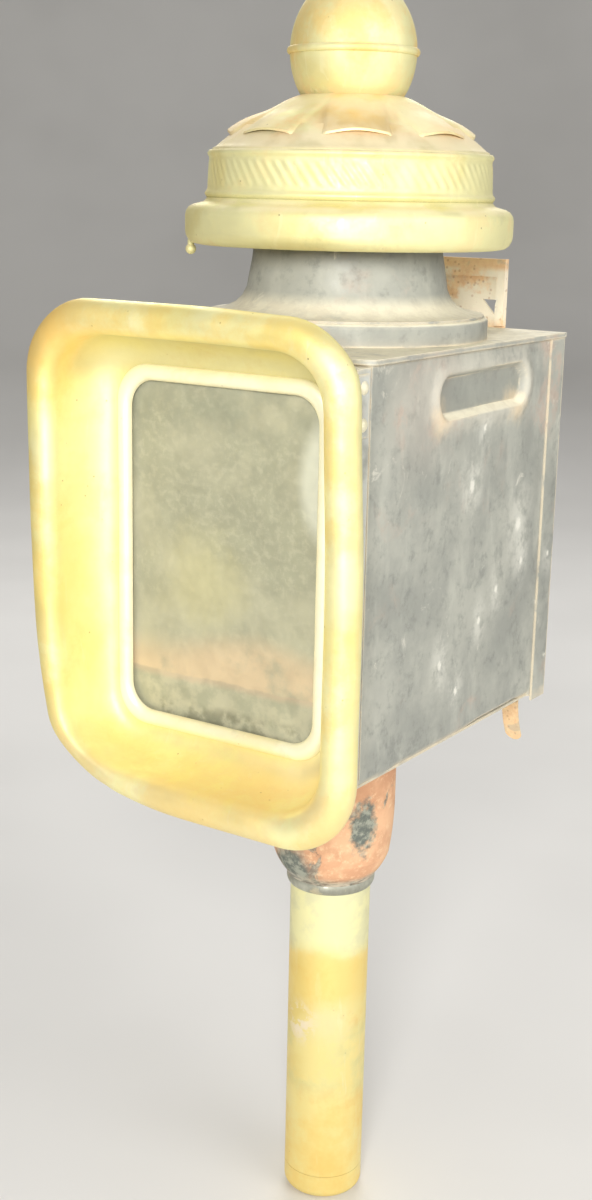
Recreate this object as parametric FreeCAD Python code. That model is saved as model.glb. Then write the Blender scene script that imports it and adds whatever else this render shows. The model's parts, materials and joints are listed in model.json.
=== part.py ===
import FreeCAD, Part
import math
import os

# Square-bodied railway carriage candle lamp.  Millimetres, +Z up, window towards -Y.
# The origin lies on the stem's axis, just under the collar ring that seats on the lamp bracket.

# ---- driving dimensions ------------------------------------------------------------------------
sheet = 0.8                    # painted sheet iron
gap = 0.3                      # air between pieces that move past each other

stem_radius = 15.0             # of the stem's free part, below the collar
seated_radius = 14.7           # of its upper part, turned down for the collar
stem_wall = 0.7
stem_length = 124.0            # below the collar, with its end cap
cap_height = 10.0              # visible head of the end cap, flush with the stem
cap_floor = 1.0
spigot_length = 9.0            # part of the end cap that pushes up into the stem
spigot_clearance = 0.05        # its running fit

collar_foot_z = 4.2            # underside of the solder ring below the collar
collar_ring_height = 3.8
collar_height = 72.0
collar_top_radius = 23.1
collar_waist_radius = 21.5

body_width = 102.0             # outside, left to right
body_depth = 132.6             # outside, front to back
body_height = 133.4
seam_fold = 10.0               # back sheet folded round onto each side sheet
seam_drop = 1.8                # how far that fold hangs below the floor

roof_thickness = 1.8
roof_overhang = 1.4
roof_corner = 4.0
drum_radius = 48.5
drum_height = 7.2
pocket_half_length = 31.5      # oblong pocket pressed into each side sheet
pocket_half_height = 6.4
pocket_border = 4.0            # raised border round it

neck_foot_radius = 47.0
neck_waist_radius = 34.6
neck_radius = 31.2             # straight upper end, which the cap's sleeve slips over
neck_height = 38.8

rim_radius = 55.7
rim_lower_radius = 51.2
band_radius = 48.2
dome_radius = 46.6
dome_rise = 19.4
dome_fullness = 2.2            # power of its curve: 2 is a parabola, more is fuller
petals = 8
petal_turn = -78.0             # degrees round from +X to the first seam between petals
finial_radius = 21.1
finial_half_height = 24.5
finial_seat_radius = 17.3
finial_boss = 1.0              # height of the flat boss under the finial, above the dome
bolt_radius = 2.4
baffle_radius = 33.0

window_half_width = 36.6       # clear glass
window_half_height = 55.5
window_corner = 9.0
bead_width = 5.2
bezel_lip_radius = 4.6         # rolled outer edge
bezel_half_width = 64.0        # outermost edge of the lip
bezel_depth = 25.0             # from its flange to the front of the lip
lip_corner = 25.0
door_depth = 7.6
glass_thickness = 2.5

hinge_barrel_radius = 2.1
hinge_pin_radius = 0.9
pin_clearance = 0.06
hinge_height = 18.0
hinge_inset = 14.0             # from the top and bottom edges of the body
pull_tab_thickness = 0.9
tab_rivet_shank = 0.9

bracket_half_width = 27.0
bracket_thickness = 1.2
iron_width = 38.0              # flat lamp iron that the rear channel slides over
iron_thickness = 6.5
iron_clearance = 0.6
channel_wall = 1.2
rivet_shank = 1.2
prong_x = 37.8
prong_width = 6.6
prong_thickness = 0.9

candle_radius = 11.0
nozzle_mouth_radius = 8.4
spring_wire_radius = 0.6
spring_pitch = 11.0
spring_wire_sides = 8

# ---- levels and planes worked out from them --------------------------------------------------------
floor_z = collar_height
roof_z = floor_z + body_height
roof_top_z = roof_z + roof_thickness
drum_top_z = roof_top_z + drum_height
neck_shoulder_z = drum_top_z + 8.6
neck_top_z = drum_top_z + neck_height
half_width = body_width / 2
front_y = -body_depth / 2
back_y = body_depth / 2
back_outer_y = back_y + sheet
window_z = floor_z + body_height / 2 + 0.9

rim_bottom_z = drum_top_z + 22.6
rim_shoulder_z = rim_bottom_z + 9.6
rim_top_z = rim_bottom_z + 15.2
band_top_z = rim_top_z + 15.4
dome_at_seat = dome_rise * (1 - (finial_seat_radius / dome_radius) ** dome_fullness)
finial_seat_z = band_top_z + dome_at_seat + finial_boss
finial_seam_z = finial_seat_z + finial_half_height * math.sqrt(1 - (finial_seat_radius / finial_radius) ** 2)
baffle_z = band_top_z + 1.0
baffle_hub_z = baffle_z + 6.0

door_back_y = front_y - gap
door_front_y = door_back_y - door_depth
glass_back_y = door_back_y - sheet - 0.1
glass_front_y = glass_back_y - glass_thickness
flange_y = glass_front_y - 0.1
hinge_x = -(half_width + 2.6)
hinge_y = front_y - gap / 2

stem_bottom_z = -stem_length + cap_height
cap_floor_z = -stem_length + cap_floor
stem_top_z = floor_z + 6.0
follower_z = 22.0
nozzle_top_z = stem_top_z + 7.0

plate_bottom_z = floor_z + 40.0
plate_top_z = roof_top_z + 24.8
channel_bottom_z = plate_bottom_z + 6.0
channel_top_z = roof_z - 8.0
prong_rivet_z = floor_z + 12.0

origin = FreeCAD.Vector(0, 0, 0)
up = FreeCAD.Vector(0, 0, 1)


# ---- building blocks ---------------------------------------------------------------------------
def box(x0, x1, y0, y1, z0, z1):
    return Part.makeBox(x1 - x0, y1 - y0, z1 - z0, FreeCAD.Vector(x0, y0, z0))


def rod(radius, z0, z1, x=0.0, y=0.0):
    return Part.makeCylinder(radius, z1 - z0, FreeCAD.Vector(x, y, z0), up)


def ring(outer, inner, z0, z1):
    return rod(outer, z0, z1).cut(rod(inner, z0 - 1, z1 + 1))


def rod_along(direction, radius, start, length):
    return Part.makeCylinder(radius, length, FreeCAD.Vector(*start), FreeCAD.Vector(*direction))


def line(start, end):
    return Part.makeLine(FreeCAD.Vector(*start), FreeCAD.Vector(*end))


def outline(start, *steps):
    """Edges from start through the steps.  A step is an end point, or (mid point, end point) for an arc."""
    edges = []
    here = start
    for step in steps:
        if isinstance(step[0], tuple):
            middle, end = step
            points = [FreeCAD.Vector(r, 0, z) for r, z in (here, middle, end)]
            edges.append(Part.Arc(*points).toShape())
        else:
            end = step
            edges.append(line((here[0], 0, here[1]), (end[0], 0, end[1])))
        here = end
    return edges


def spun(start, *steps):
    """Solid of revolution about Z from a closed outline of (radius, height) points."""
    face = Part.Face(Part.Wire(outline(start, *steps, start)))
    return face.revolve(origin, up, 360)


def rounded_rectangle(half_w, half_h, radius, y, centre_z):
    """Closed wire in the plane Y = y, with arcs at its corners."""
    edges = []
    diagonal = radius * math.sqrt(0.5)
    corners = [(1, 1), (-1, 1), (-1, -1), (1, -1)]
    previous = None
    first = None
    for index, (sx, sz) in enumerate(corners):
        cx = sx * (half_w - radius)
        cz = centre_z + sz * (half_h - radius)
        on_side = FreeCAD.Vector(cx + sx * radius, y, cz)
        on_top = FreeCAD.Vector(cx, y, cz + sz * radius)
        middle = FreeCAD.Vector(cx + sx * diagonal, y, cz + sz * diagonal)
        begin, end = (on_side, on_top) if index % 2 == 0 else (on_top, on_side)
        if previous is not None:
            edges.append(Part.makeLine(previous, begin))
        else:
            first = begin
        edges.append(Part.Arc(begin, middle, end).toShape())
        previous = end
    edges.append(Part.makeLine(previous, first))
    return Part.Wire(edges)


def rounded_plate(half_w, half_h, radius, y0, y1, centre_z):
    face = Part.Face(rounded_rectangle(half_w, half_h, radius, y0, centre_z))
    return face.extrude(FreeCAD.Vector(0, y1 - y0, 0))


def window_moulding(section):
    """Closed moulding round the window.  section lists (outward distance from the clear glass, y)."""
    wires = []
    for outward, y in section + section[:1]:
        share = max(0.0, outward) / (bezel_half_width - window_half_width)
        radius = window_corner + share * (lip_corner - window_corner)
        half_w = window_half_width + outward
        half_h = window_half_height + outward
        wires.append(rounded_rectangle(half_w, half_h, radius, y, window_z))
    faces = []
    for here, there in zip(wires[:-1], wires[1:]):
        if abs(here.BoundBox.YMin - there.BoundBox.YMin) < 0.001:
            faces.append(Part.makeFace([here, there], "Part::FaceMakerBullseye"))
        else:
            faces += Part.makeLoft([here, there], False, True).Faces
    shell = Part.makeCompound(faces)
    shell.sewShape()
    solid = Part.makeSolid(Part.makeShell(shell.Faces))
    if solid.Volume < 0:
        solid.reverse()
    return solid


def arc_points(centre, radius, start_degrees, end_degrees, count):
    """Points on an arc, for a moulding's section."""
    angles = [start_degrees + (end_degrees - start_degrees) * i / (count - 1) for i in range(count)]
    return [(centre[0] + radius * math.cos(math.radians(a)), centre[1] + radius * math.sin(math.radians(a)))
            for a in angles]


def rivet(x, y, z, direction, shank_radius, shank_length, head_radius):
    """Round-headed rivet: the head stands out along direction, the shank runs the other way."""
    start = (x, y, z)
    away = tuple(-c for c in direction)
    shank = rod_along(away, shank_radius, start, shank_length)
    ball = Part.makeSphere(head_radius * 1.25, FreeCAD.Vector(*[p - c * head_radius * 0.75
                                                              for p, c in zip(start, direction)]))
    head = ball.common(rod_along(direction, head_radius, start, head_radius))
    return head.fuse(shank).removeSplitter()


def mirrored(shape):
    return shape.mirror(origin, FreeCAD.Vector(1, 0, 0))


def one_solid(shape):
    return shape.removeSplitter()


# ---- stem: candle tube, its collar, end cap and what slides inside ------------------------------------
def candle_tube():
    inner = stem_radius - stem_wall
    return spun(
        (inner, stem_bottom_z),
        (stem_radius, stem_bottom_z),
        (stem_radius, collar_foot_z),
        (seated_radius, collar_foot_z),
        (seated_radius, stem_top_z),
        (inner, stem_top_z),
    )


def tube_collar():
    """Sheet collar: a short lip, a cone that opens out, and a nearly straight sleeve up to the floor."""
    lip_z = collar_foot_z + collar_ring_height
    sleeve_z = lip_z + 28.0
    return spun(
        (seated_radius, lip_z),
        (stem_radius + 1.4, lip_z),
        (stem_radius + 1.9, lip_z + 1.2),
        ((stem_radius + 4.4, lip_z + 4.7), (collar_waist_radius, lip_z + 9.2)),
        ((collar_waist_radius + 1.1, lip_z + 18.0), (collar_top_radius, sleeve_z)),
        (collar_top_radius, collar_height),
        (collar_top_radius - 1.0, collar_height),
        (collar_top_radius - 1.0, sleeve_z),
        ((collar_waist_radius + 0.1, lip_z + 18.2), (collar_waist_radius - 1.0, lip_z + 9.9)),
        ((stem_radius + 2.8, lip_z + 5.8), (seated_radius, lip_z + 3.6)),
    )


def collar_ring():
    top_z = collar_foot_z + collar_ring_height
    return spun(
        (seated_radius, collar_foot_z),
        (stem_radius + 0.7, collar_foot_z),
        ((stem_radius + 1.5, collar_foot_z + 1.9), (stem_radius + 1.1, top_z)),
        (seated_radius, top_z),
    )


def end_cap():
    """Push-in cap: a head flush with the stem and a spigot that slides up inside it."""
    bottom = -stem_length
    spigot_outer = stem_radius - stem_wall - spigot_clearance
    spigot_inner = spigot_outer - 0.5
    return spun(
        (0.0, bottom),
        (stem_radius - 3.4, bottom),
        ((stem_radius - 1.0, bottom + 1.0), (stem_radius, bottom + 3.4)),
        (stem_radius, stem_bottom_z - 0.2),
        (spigot_outer, stem_bottom_z - 0.2),
        (spigot_outer, stem_bottom_z + spigot_length),
        (spigot_inner, stem_bottom_z + spigot_length),
        (spigot_inner, cap_floor_z),
        (0.0, cap_floor_z),
    )


def candle_spring():
    bottom = cap_floor_z + spring_wire_radius + 0.1
    top = follower_z - spring_wire_radius - 0.1
    coil_radius = stem_radius - stem_wall - spring_wire_radius - 1.2
    helix = Part.makeLongHelix(spring_pitch, top - bottom, coil_radius)
    helix.translate(FreeCAD.Vector(0, 0, bottom))
    slope = math.atan2(spring_pitch, 2 * math.pi * coil_radius)
    across = FreeCAD.Vector(0, -math.sin(slope), math.cos(slope))
    corners = []
    for corner in range(spring_wire_sides + 1):
        angle = 2 * math.pi * corner / spring_wire_sides
        outward = coil_radius + spring_wire_radius * math.cos(angle)
        corners.append(FreeCAD.Vector(outward, 0, bottom) + across * (spring_wire_radius * math.sin(angle)))
    return Part.Wire(helix.Edges).makePipeShell([Part.makePolygon(corners)], True, True)


def candle_follower():
    outer = stem_radius - stem_wall - gap
    cup = rod(outer, follower_z, follower_z + 9.0)
    return cup.cut(rod(candle_radius, follower_z + 1.2, follower_z + 10.0))


def candle():
    shoulder_z = stem_top_z - 1.0
    return spun(
        (0.0, follower_z + 1.2),
        (candle_radius, follower_z + 1.2),
        (candle_radius, shoulder_z),
        ((candle_radius - 1.6, shoulder_z + 4.2), (candle_radius - 4.2, shoulder_z + 6.4)),
        (0.0, shoulder_z + 7.0),
    )


def candle_wick():
    tip_z = stem_top_z + 6.0
    return rod(0.8, tip_z, tip_z + 8.0)


def candle_nozzle():
    outer = stem_radius + 0.8
    skirt_z = floor_z + sheet
    return spun(
        (seated_radius, skirt_z),
        (outer, skirt_z),
        (outer, stem_top_z + 0.6),
        ((outer - 1.9, stem_top_z + 4.0), (nozzle_mouth_radius + 0.8, nozzle_top_z)),
        (nozzle_mouth_radius, nozzle_top_z),
        ((outer - 2.9, stem_top_z + 3.4), (seated_radius, stem_top_z + 0.6)),
    )


# ---- body box ----------------------------------------------------------------------------------------
def side_sheet(side):
    """Side of the box, with an oblong pocket near its top rear: a raised border round a sunk panel."""
    centre_y = 6.3
    centre_z = roof_z - 13.7
    relief = 1.2
    sink = 2.0
    straight = pocket_half_length - pocket_half_height

    def oblong(grow, near, far):
        """Oblong block between two distances out from the sheet's outer face."""
        half_h = pocket_half_height + grow
        x0, x1 = sorted((side * (half_width + near), side * (half_width + far)))
        block = box(x0, x1, centre_y - straight, centre_y + straight, centre_z - half_h, centre_z + half_h)
        for end in (-1, 1):
            start = (x0, centre_y + end * straight, centre_z)
            block = block.fuse(rod_along((1, 0, 0), half_h, start, x1 - x0))
        return block

    x0, x1 = sorted((side * half_width, side * (half_width - sheet)))
    panel = box(x0, x1, front_y, back_y, floor_z - 0.4, roof_z)
    border = oblong(pocket_border, -sheet, relief)
    sunk_panel = oblong(sheet, -sink - sheet, 0.0)
    recess = oblong(0.0, -sink, relief + 1)
    return one_solid(panel.fuse(border).fuse(sunk_panel).cut(recess))


def back_sheet():
    wide = half_width + sheet
    bottom = floor_z - seam_drop
    panel = box(-wide, wide, back_y, back_outer_y, bottom, roof_z)
    for side in (-1, 1):
        fold = box(half_width, wide, back_y - seam_fold, back_outer_y, bottom, roof_z)
        panel = panel.fuse(fold if side > 0 else mirrored(fold))
    for x, z in bracket_rivet_places() + prong_rivet_places():
        panel = panel.cut(rod_along((0, 1, 0), rivet_shank, (x, back_y - 1, z), 4.0))
    return one_solid(panel)


def floor_sheet():
    inside = half_width - sheet
    air_hole_circle = 33.0
    air_hole_radius = 2.6
    plate = box(-inside, inside, front_y, back_y, floor_z, floor_z + sheet)
    plate = plate.cut(rod(seated_radius, floor_z - 1, floor_z + 2))
    for step in range(12):
        angle = math.radians(30 * step + 15)
        x = air_hole_circle * math.cos(angle)
        y = air_hole_circle * math.sin(angle)
        plate = plate.cut(rod(air_hole_radius, floor_z - 1, floor_z + 2, x, y))
    return plate


def front_jamb():
    """Flat frame inside the front of the box, which the door closes against."""
    width = 8.0
    inside = half_width - sheet
    frame = box(-inside, inside, front_y, front_y + sheet, floor_z + sheet, roof_z)
    frame = frame.cut(box(-inside + width, inside - width, front_y - 1, front_y + 2,
                          floor_z + sheet + width, roof_z - width))
    slot = box(inside - 3.2, inside, front_y - 1, front_y + 2, window_z - 6.5, window_z + 6.5)
    return frame.cut(slot)


def roof_plate():
    wide = half_width + roof_overhang
    plate = box(-wide, wide, front_y - roof_overhang, back_outer_y, roof_z, roof_top_z)
    corners = [edge for edge in plate.Edges
               if abs(edge.Vertexes[0].Z - edge.Vertexes[1].Z) > 1 and edge.CenterOfMass.y < 0]
    plate = plate.makeFillet(roof_corner, corners)
    return plate.cut(rod(drum_radius - 3.0, roof_z - 1, roof_top_z + 1))


def roof_drum():
    top = drum_top_z
    return spun(
        (drum_radius, roof_top_z),
        (drum_radius, top - 1.4),
        ((drum_radius - 0.4, top - 0.4), (drum_radius - 1.4, top)),
        (drum_radius - 4.0, top),
        (drum_radius - 4.0, top - sheet),
        (drum_radius - sheet, top - sheet),
        (drum_radius - sheet, roof_top_z),
    )


def neck_foot():
    """Flared foot that stands on the drum."""
    foot_z = drum_top_z
    return spun(
        (neck_foot_radius, foot_z),
        (neck_foot_radius, foot_z + sheet),
        ((neck_waist_radius + 3.5, foot_z + 3.1), (neck_waist_radius, neck_shoulder_z)),
        (neck_waist_radius - sheet, neck_shoulder_z),
        ((neck_waist_radius + 2.6, foot_z + 2.4), (neck_foot_radius - 3.6, foot_z)),
    )


def chimney_neck():
    step_z = drum_top_z + 21.0
    return spun(
        (neck_waist_radius, neck_shoulder_z),
        (neck_radius + 1.1, step_z),
        (neck_radius, step_z + 2.6),
        (neck_radius, neck_top_z),
        (neck_radius - sheet, neck_top_z),
        (neck_radius - sheet, step_z + 2.4),
        (neck_radius + 0.2, step_z - 0.2),
        (neck_waist_radius - sheet, neck_shoulder_z),
    )


def inner_cone():
    """Heat shield under the roof, which leads the hot air into the neck."""
    flange_radius = drum_radius - 1.0
    mouth_radius = 27.0
    flange_z = roof_z - sheet
    return spun(
        (flange_radius, flange_z),
        (flange_radius, roof_z),
        (flange_radius - 5.2, roof_z),
        (mouth_radius, drum_top_z + 12.0),
        (mouth_radius - sheet, drum_top_z + 12.0),
        (flange_radius - 6.2, flange_z),
    )


def reflector():
    """Polished sheet, bowed forward at both sides, on the inside of the back."""
    half_chord = 44.0
    middle_y = back_y - 4.0
    edge_y = back_y - 26.0
    bottom = floor_z + 6.0
    top = roof_z - 8.0
    thickness = 0.6
    edges = []
    for shift in (0.0, -thickness):
        points = [FreeCAD.Vector(x, y + shift, bottom)
                  for x, y in ((-half_chord, edge_y), (0, middle_y), (half_chord, edge_y))]
        edges.append(Part.Arc(*points).toShape())
    for side in (-1, 1):
        x = side * half_chord
        edges.append(line((x, edge_y, bottom), (x, edge_y - thickness, bottom)))
    face = Part.Face(Part.Wire(Part.__sortEdges__(edges)))
    return face.extrude(FreeCAD.Vector(0, 0, top - bottom))


def reflector_stays():
    """Two strips from the floor that hold the reflector's lower edge."""
    strips = []
    for x in (-22.0, 22.0):
        strips.append(box(x - 4, x + 4, back_y - 11.8, back_y, floor_z + 2.4, floor_z + 6.0))
    return Part.makeCompound(strips)


# ---- door ---------------------------------------------------------------------------------------------
def door_frame():
    """Shallow tray: four outer walls and a back flange round the glass."""
    half_w = half_width
    bottom = floor_z + 0.6
    top = roof_z - 0.5
    tray = box(-half_w, half_w, door_front_y, door_back_y, bottom, top)
    tray = tray.cut(box(-half_w + sheet, half_w - sheet, door_front_y - 1, door_back_y - sheet,
                        bottom + sheet, top - sheet))
    # The hood's cove comes down close over the top and bottom walls, so these are lower than the sides.
    end_wall_y = flange_y - 0.6
    tray = tray.cut(box(-half_w + sheet, half_w - sheet, door_front_y - 1, end_wall_y, bottom - 1, top + 1))
    window = rounded_plate(window_half_width + 1.0, window_half_height + 1.0, window_corner + 1.0,
                           door_back_y - 3, door_back_y + 3, window_z)
    return tray.cut(window)


def glass_pane():
    """Plate glass with a ground bevel round its front edge."""
    grow = 4.0
    bevel = 1.4
    half_w = window_half_width + grow
    half_h = window_half_height + grow
    radius = window_corner + grow
    straight = rounded_plate(half_w, half_h, radius, glass_back_y, glass_front_y + bevel, window_z)
    front = Part.makeLoft([rounded_rectangle(half_w, half_h, radius, glass_front_y + bevel, window_z),
                           rounded_rectangle(half_w - bevel, half_h - bevel, radius - bevel,
                                             glass_front_y, window_z)], True, True)
    return one_solid(straight.fuse(front))


def bezel():
    """Spun brass hood round the window: flange, cove and an outward-rolled lip."""
    thickness = 0.9
    flange_start = bead_width - 3.0
    cove_start = bead_width + 0.7
    lip_centre = (bezel_half_width - window_half_width - bezel_lip_radius,
                  flange_y - bezel_depth + bezel_lip_radius)
    cove_end = lip_centre[0] - bezel_lip_radius
    inner_radius = bezel_lip_radius - thickness
    cove_rise = flange_y - lip_centre[1]
    front = [(flange_start, flange_y - thickness)]
    back = [(flange_start, flange_y)]
    for step in range(6):
        angle = math.radians(90 * step / 5)
        span = cove_end - cove_start
        across = cove_start + span * math.sin(angle)
        forward = cove_rise * (1 - math.cos(angle))
        front.append((across, flange_y - thickness - forward * (cove_rise - thickness) / cove_rise))
        back.append((across + thickness * math.sin(angle), flange_y - forward))
    front = front[:-1] + arc_points(lip_centre, bezel_lip_radius, 180, 405, 12)
    back = back[:-1] + arc_points(lip_centre, inner_radius, 180, 405, 12)
    return window_moulding(front + back[::-1])


def window_bead():
    """Half-round beading that frames the glass."""
    seat_y = flange_y - 1.0
    centre = (bead_width / 2, seat_y)
    return window_moulding(arc_points(centre, bead_width / 2, 0, -180, 9))


def glass_clips():
    """Four bent tabs on the inside of the door that hold the glass forward."""
    clips = []
    for x, z in ((-half_width + 14.6, window_z + 30), (half_width - 14.6, window_z + 30),
                 (-half_width + 14.6, window_z - 30), (half_width - 14.6, window_z - 30)):
        side = 1 if x > 0 else -1
        x0, x1 = sorted((x - side * 3.2, x + side * 3.2))
        clips.append(box(x0, x1, door_back_y, door_back_y + 0.7, z - 4, z + 4))
    return Part.makeCompound(clips)


def hinge_leaf(on_door, bottom):
    """One leaf of a butt hinge: the body has the middle knuckle, the door the outer two."""
    third = hinge_height / 3
    knuckle = 2.4
    top = bottom + hinge_height
    if on_door:
        plate_y = (door_front_y, door_back_y - knuckle)
        web_y = (door_front_y, door_back_y)
        spans = [(bottom, bottom + third - gap / 2), (bottom + 2 * third + gap / 2, top)]
        hole = hinge_pin_radius + pin_clearance
    else:
        plate_y = (front_y + knuckle, front_y + 12.0)
        web_y = (front_y, front_y + knuckle + 0.6)
        spans = [(bottom + third + gap / 2, bottom + 2 * third - gap / 2)]
        hole = hinge_pin_radius
    leaf = box(-half_width - sheet, -half_width, *plate_y, bottom, top)
    for low, high in spans:
        web = box(-half_width - 1.5, -half_width, *web_y, low, high)
        leaf = leaf.fuse(web).fuse(rod(hinge_barrel_radius, low, high, hinge_x, hinge_y))
    return one_solid(leaf.cut(rod(hole, bottom - 1, top + 1, hinge_x, hinge_y)))


def hinge_bottoms():
    return (floor_z + hinge_inset, roof_z - hinge_inset - hinge_height)


def hinge_pins():
    end_play = 0.4
    head_height = 1.0
    head_radius = hinge_pin_radius + 0.6
    pins = []
    for bottom in hinge_bottoms():
        top = bottom + hinge_height
        pin = rod(hinge_pin_radius, bottom - end_play, top + end_play, hinge_x, hinge_y)
        for z in (bottom - end_play - head_height, top + end_play):
            pin = pin.fuse(rod(head_radius, z, z + head_height, hinge_x, hinge_y))
        pins.append(pin)
    return Part.makeCompound(pins)


def pull_tab():
    """Small strip on the free side of the door, near its top, for opening it."""
    tab = box(half_width, half_width + pull_tab_thickness, door_back_y - 8.2, door_back_y - 2.0,
              roof_z - 21.0, roof_z - 2.0)
    for y, z in pull_tab_rivet_places():
        tab = tab.cut(rod_along((1, 0, 0), tab_rivet_shank, (half_width - 1, y, z), 4.0))
    return tab


def pull_tab_rivet_places():
    return [(door_back_y - 5.1, z) for z in (roof_z - 6.0, roof_z - 17.0)]


def pull_tab_rivets():
    outer = half_width + pull_tab_thickness
    return Part.makeCompound([rivet(outer, y, z, (1, 0, 0), tab_rivet_shank, pull_tab_thickness, 2.1)
                              for y, z in pull_tab_rivet_places()])


def catch_lug():
    """Tongue on the back of the door that snaps behind the catch spring."""
    x0 = half_width - sheet - 2.0
    return box(x0, x0 + sheet, door_back_y, front_y + 8.0, window_z - 5, window_z + 5)


def catch_spring():
    inside = half_width - sheet
    return box(inside - 0.5, inside, front_y + 2.5, front_y + 16.0, window_z - 4.5, window_z + 4.5)


# ---- back: hanger plate, lamp-iron channel and spring prongs ------------------------------------------
def bracket_rivet_places():
    x = iron_width / 2 + 4.6
    return [(side * x, z) for side in (-1, 1) for z in (channel_bottom_z + 8, channel_top_z - 8)]


def prong_rivet_places():
    return [(side * prong_x, prong_rivet_z) for side in (-1, 1)]


def hanger_plate():
    """Plate up the back; above the roof its top and sides are folded forward into a border."""
    near = back_outer_y
    far = near + bracket_thickness
    plate = box(-bracket_half_width, bracket_half_width, near, far, plate_bottom_z, plate_top_z)
    border = 6.5
    head_z = roof_top_z + 0.6
    frame = box(-bracket_half_width, bracket_half_width, near - 1.5, near, head_z, plate_top_z)
    inside_width = bracket_half_width - border + 3.0
    frame = frame.cut(box(-inside_width, inside_width, near - 2, near, head_z - 1, plate_top_z - border))
    plate = plate.fuse(frame)
    for side in (-1, 1):
        corners = [(17.5, roof_top_z + 10.0), (24.0, roof_top_z + 10.0), (22.6, roof_top_z + 4.4)]
        points = [FreeCAD.Vector(side * x, near - 3, z) for x, z in corners]
        hole = Part.Face(Part.makePolygon(points + points[:1])).extrude(FreeCAD.Vector(0, 8, 0))
        plate = plate.cut(hole)
    for x, z in bracket_rivet_places():
        plate = plate.cut(rod_along((0, 1, 0), rivet_shank, (x, near - 1, z), 4.0))
    return one_solid(plate)


def iron_channel():
    """Folded channel behind the hanger plate, open at both ends, for the flat lamp iron."""
    near = back_outer_y + bracket_thickness
    wall = channel_wall
    inner_half = iron_width / 2 + iron_clearance
    outer_half = inner_half + wall
    depth = iron_thickness + iron_clearance
    channel = box(-bracket_half_width, bracket_half_width, near, near + wall, channel_bottom_z, channel_top_z)
    channel = channel.fuse(box(-outer_half, outer_half, near, near + depth + wall,
                               channel_bottom_z, channel_top_z))
    channel = channel.cut(box(-inner_half, inner_half, near - 1, near + depth,
                              channel_bottom_z - 1, channel_top_z + 1))
    for x, z in bracket_rivet_places():
        channel = channel.cut(rod_along((0, 1, 0), rivet_shank, (x, near - 1, z), 4.0))
    return one_solid(channel)


def bracket_rivets():
    outer = back_outer_y + bracket_thickness + channel_wall
    return Part.makeCompound([rivet(x, outer, z, (0, 1, 0), rivet_shank, 3.2, 2.4)
                              for x, z in bracket_rivet_places()])


def spring_prong(side):
    """Leaf that hangs below the back and bends away from it at its free end."""
    thickness = prong_thickness
    near = back_outer_y
    top = prong_rivet_z + 6.0
    bend_z = floor_z - 8.0
    tip = (near + 6.2, floor_z - 25.0)
    edges = []
    for shift in (0.0, thickness):
        edges.append(line((0, near + shift, top), (0, near + shift, bend_z)))
        points = [(near + shift, bend_z), (near + shift + 2.2, bend_z - 9.4), (tip[0] + shift, tip[1])]
        edges.append(Part.Arc(*[FreeCAD.Vector(0, y, z) for y, z in points]).toShape())
    edges.append(line((0, near, top), (0, near + thickness, top)))
    edges.append(line((0, tip[0], tip[1]), (0, tip[0] + thickness, tip[1])))
    profile = Part.Face(Part.Wire(Part.__sortEdges__(edges)))
    leaf = profile.extrude(FreeCAD.Vector(prong_width, 0, 0))
    leaf.translate(FreeCAD.Vector(prong_x - prong_width / 2, 0, 0))
    half = prong_width / 2
    window = box(prong_x - half, prong_x + half, near - 2, near + 12, tip[1] + half, top)
    window = window.fuse(rod_along((0, 1, 0), half, (prong_x, near - 2, tip[1] + half), 14.0))
    leaf = leaf.common(window)
    leaf = leaf.cut(rod_along((0, 1, 0), rivet_shank, (prong_x, near - 1, prong_rivet_z), 4.0))
    leaf = one_solid(leaf)
    return leaf if side > 0 else mirrored(leaf)


def prong_rivets():
    outer = back_outer_y + prong_thickness
    return Part.makeCompound([rivet(x, outer, z, (0, 1, 0), rivet_shank, 1.7, 2.2)
                              for x, z in prong_rivet_places()])


# ---- cap ----------------------------------------------------------------------------------------------
def cap_rim():
    """Skirt of the cap: an upright band above a rolled lower edge."""
    z = rim_bottom_z
    t = sheet
    return spun(
        (rim_lower_radius - 1.6, z + 0.9),
        ((rim_lower_radius, z), (rim_radius - 1.3, z + 1.3)),
        ((rim_radius - 0.3, z + 2.4), (rim_radius, z + 3.8)),
        (rim_radius, rim_shoulder_z),
        (rim_radius - t, rim_shoulder_z),
        (rim_radius - t, z + 3.9),
        ((rim_radius - 1.1, z + 2.7), (rim_radius - 2.0, z + 2.0)),
        ((rim_lower_radius, z + 0.9), (rim_lower_radius - 1.2, z + 1.6)),
    )


def cap_shoulder():
    """Round shoulder above the skirt, and the cove that leads up to the roped band."""
    z = rim_shoulder_z
    return spun(
        (rim_radius, z),
        ((rim_radius - 0.9, z + 2.4), (rim_radius - 3.0, z + 3.6)),
        ((rim_radius - 5.6, z + 4.3), (band_radius + 0.2, rim_top_z)),
        (band_radius - sheet, rim_top_z),
        ((rim_radius - 6.1, z + 3.4), (rim_radius - 3.4, z + 2.8)),
        ((rim_radius - 1.6, z + 1.9), (rim_radius - sheet, z)),
    )


def roped_band():
    """Upright band between two beads; the rope pattern is pressed into it."""
    z0 = rim_top_z
    z1 = band_top_z
    t = sheet
    r = band_radius
    return spun(
        (r, z0),
        ((r + 0.9, z0 + 1.1), (r, z0 + 2.2)),
        (r - 0.9, z1 - 2.2),
        ((r - 0.1, z1 - 1.1), (r - 0.9, z1)),
        (r - 0.9 - t, z1),
        (r - 0.9 - t, z1 - 2.4),
        (r - t, z0 + 2.4),
        (r - t, z0),
    )


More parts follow.
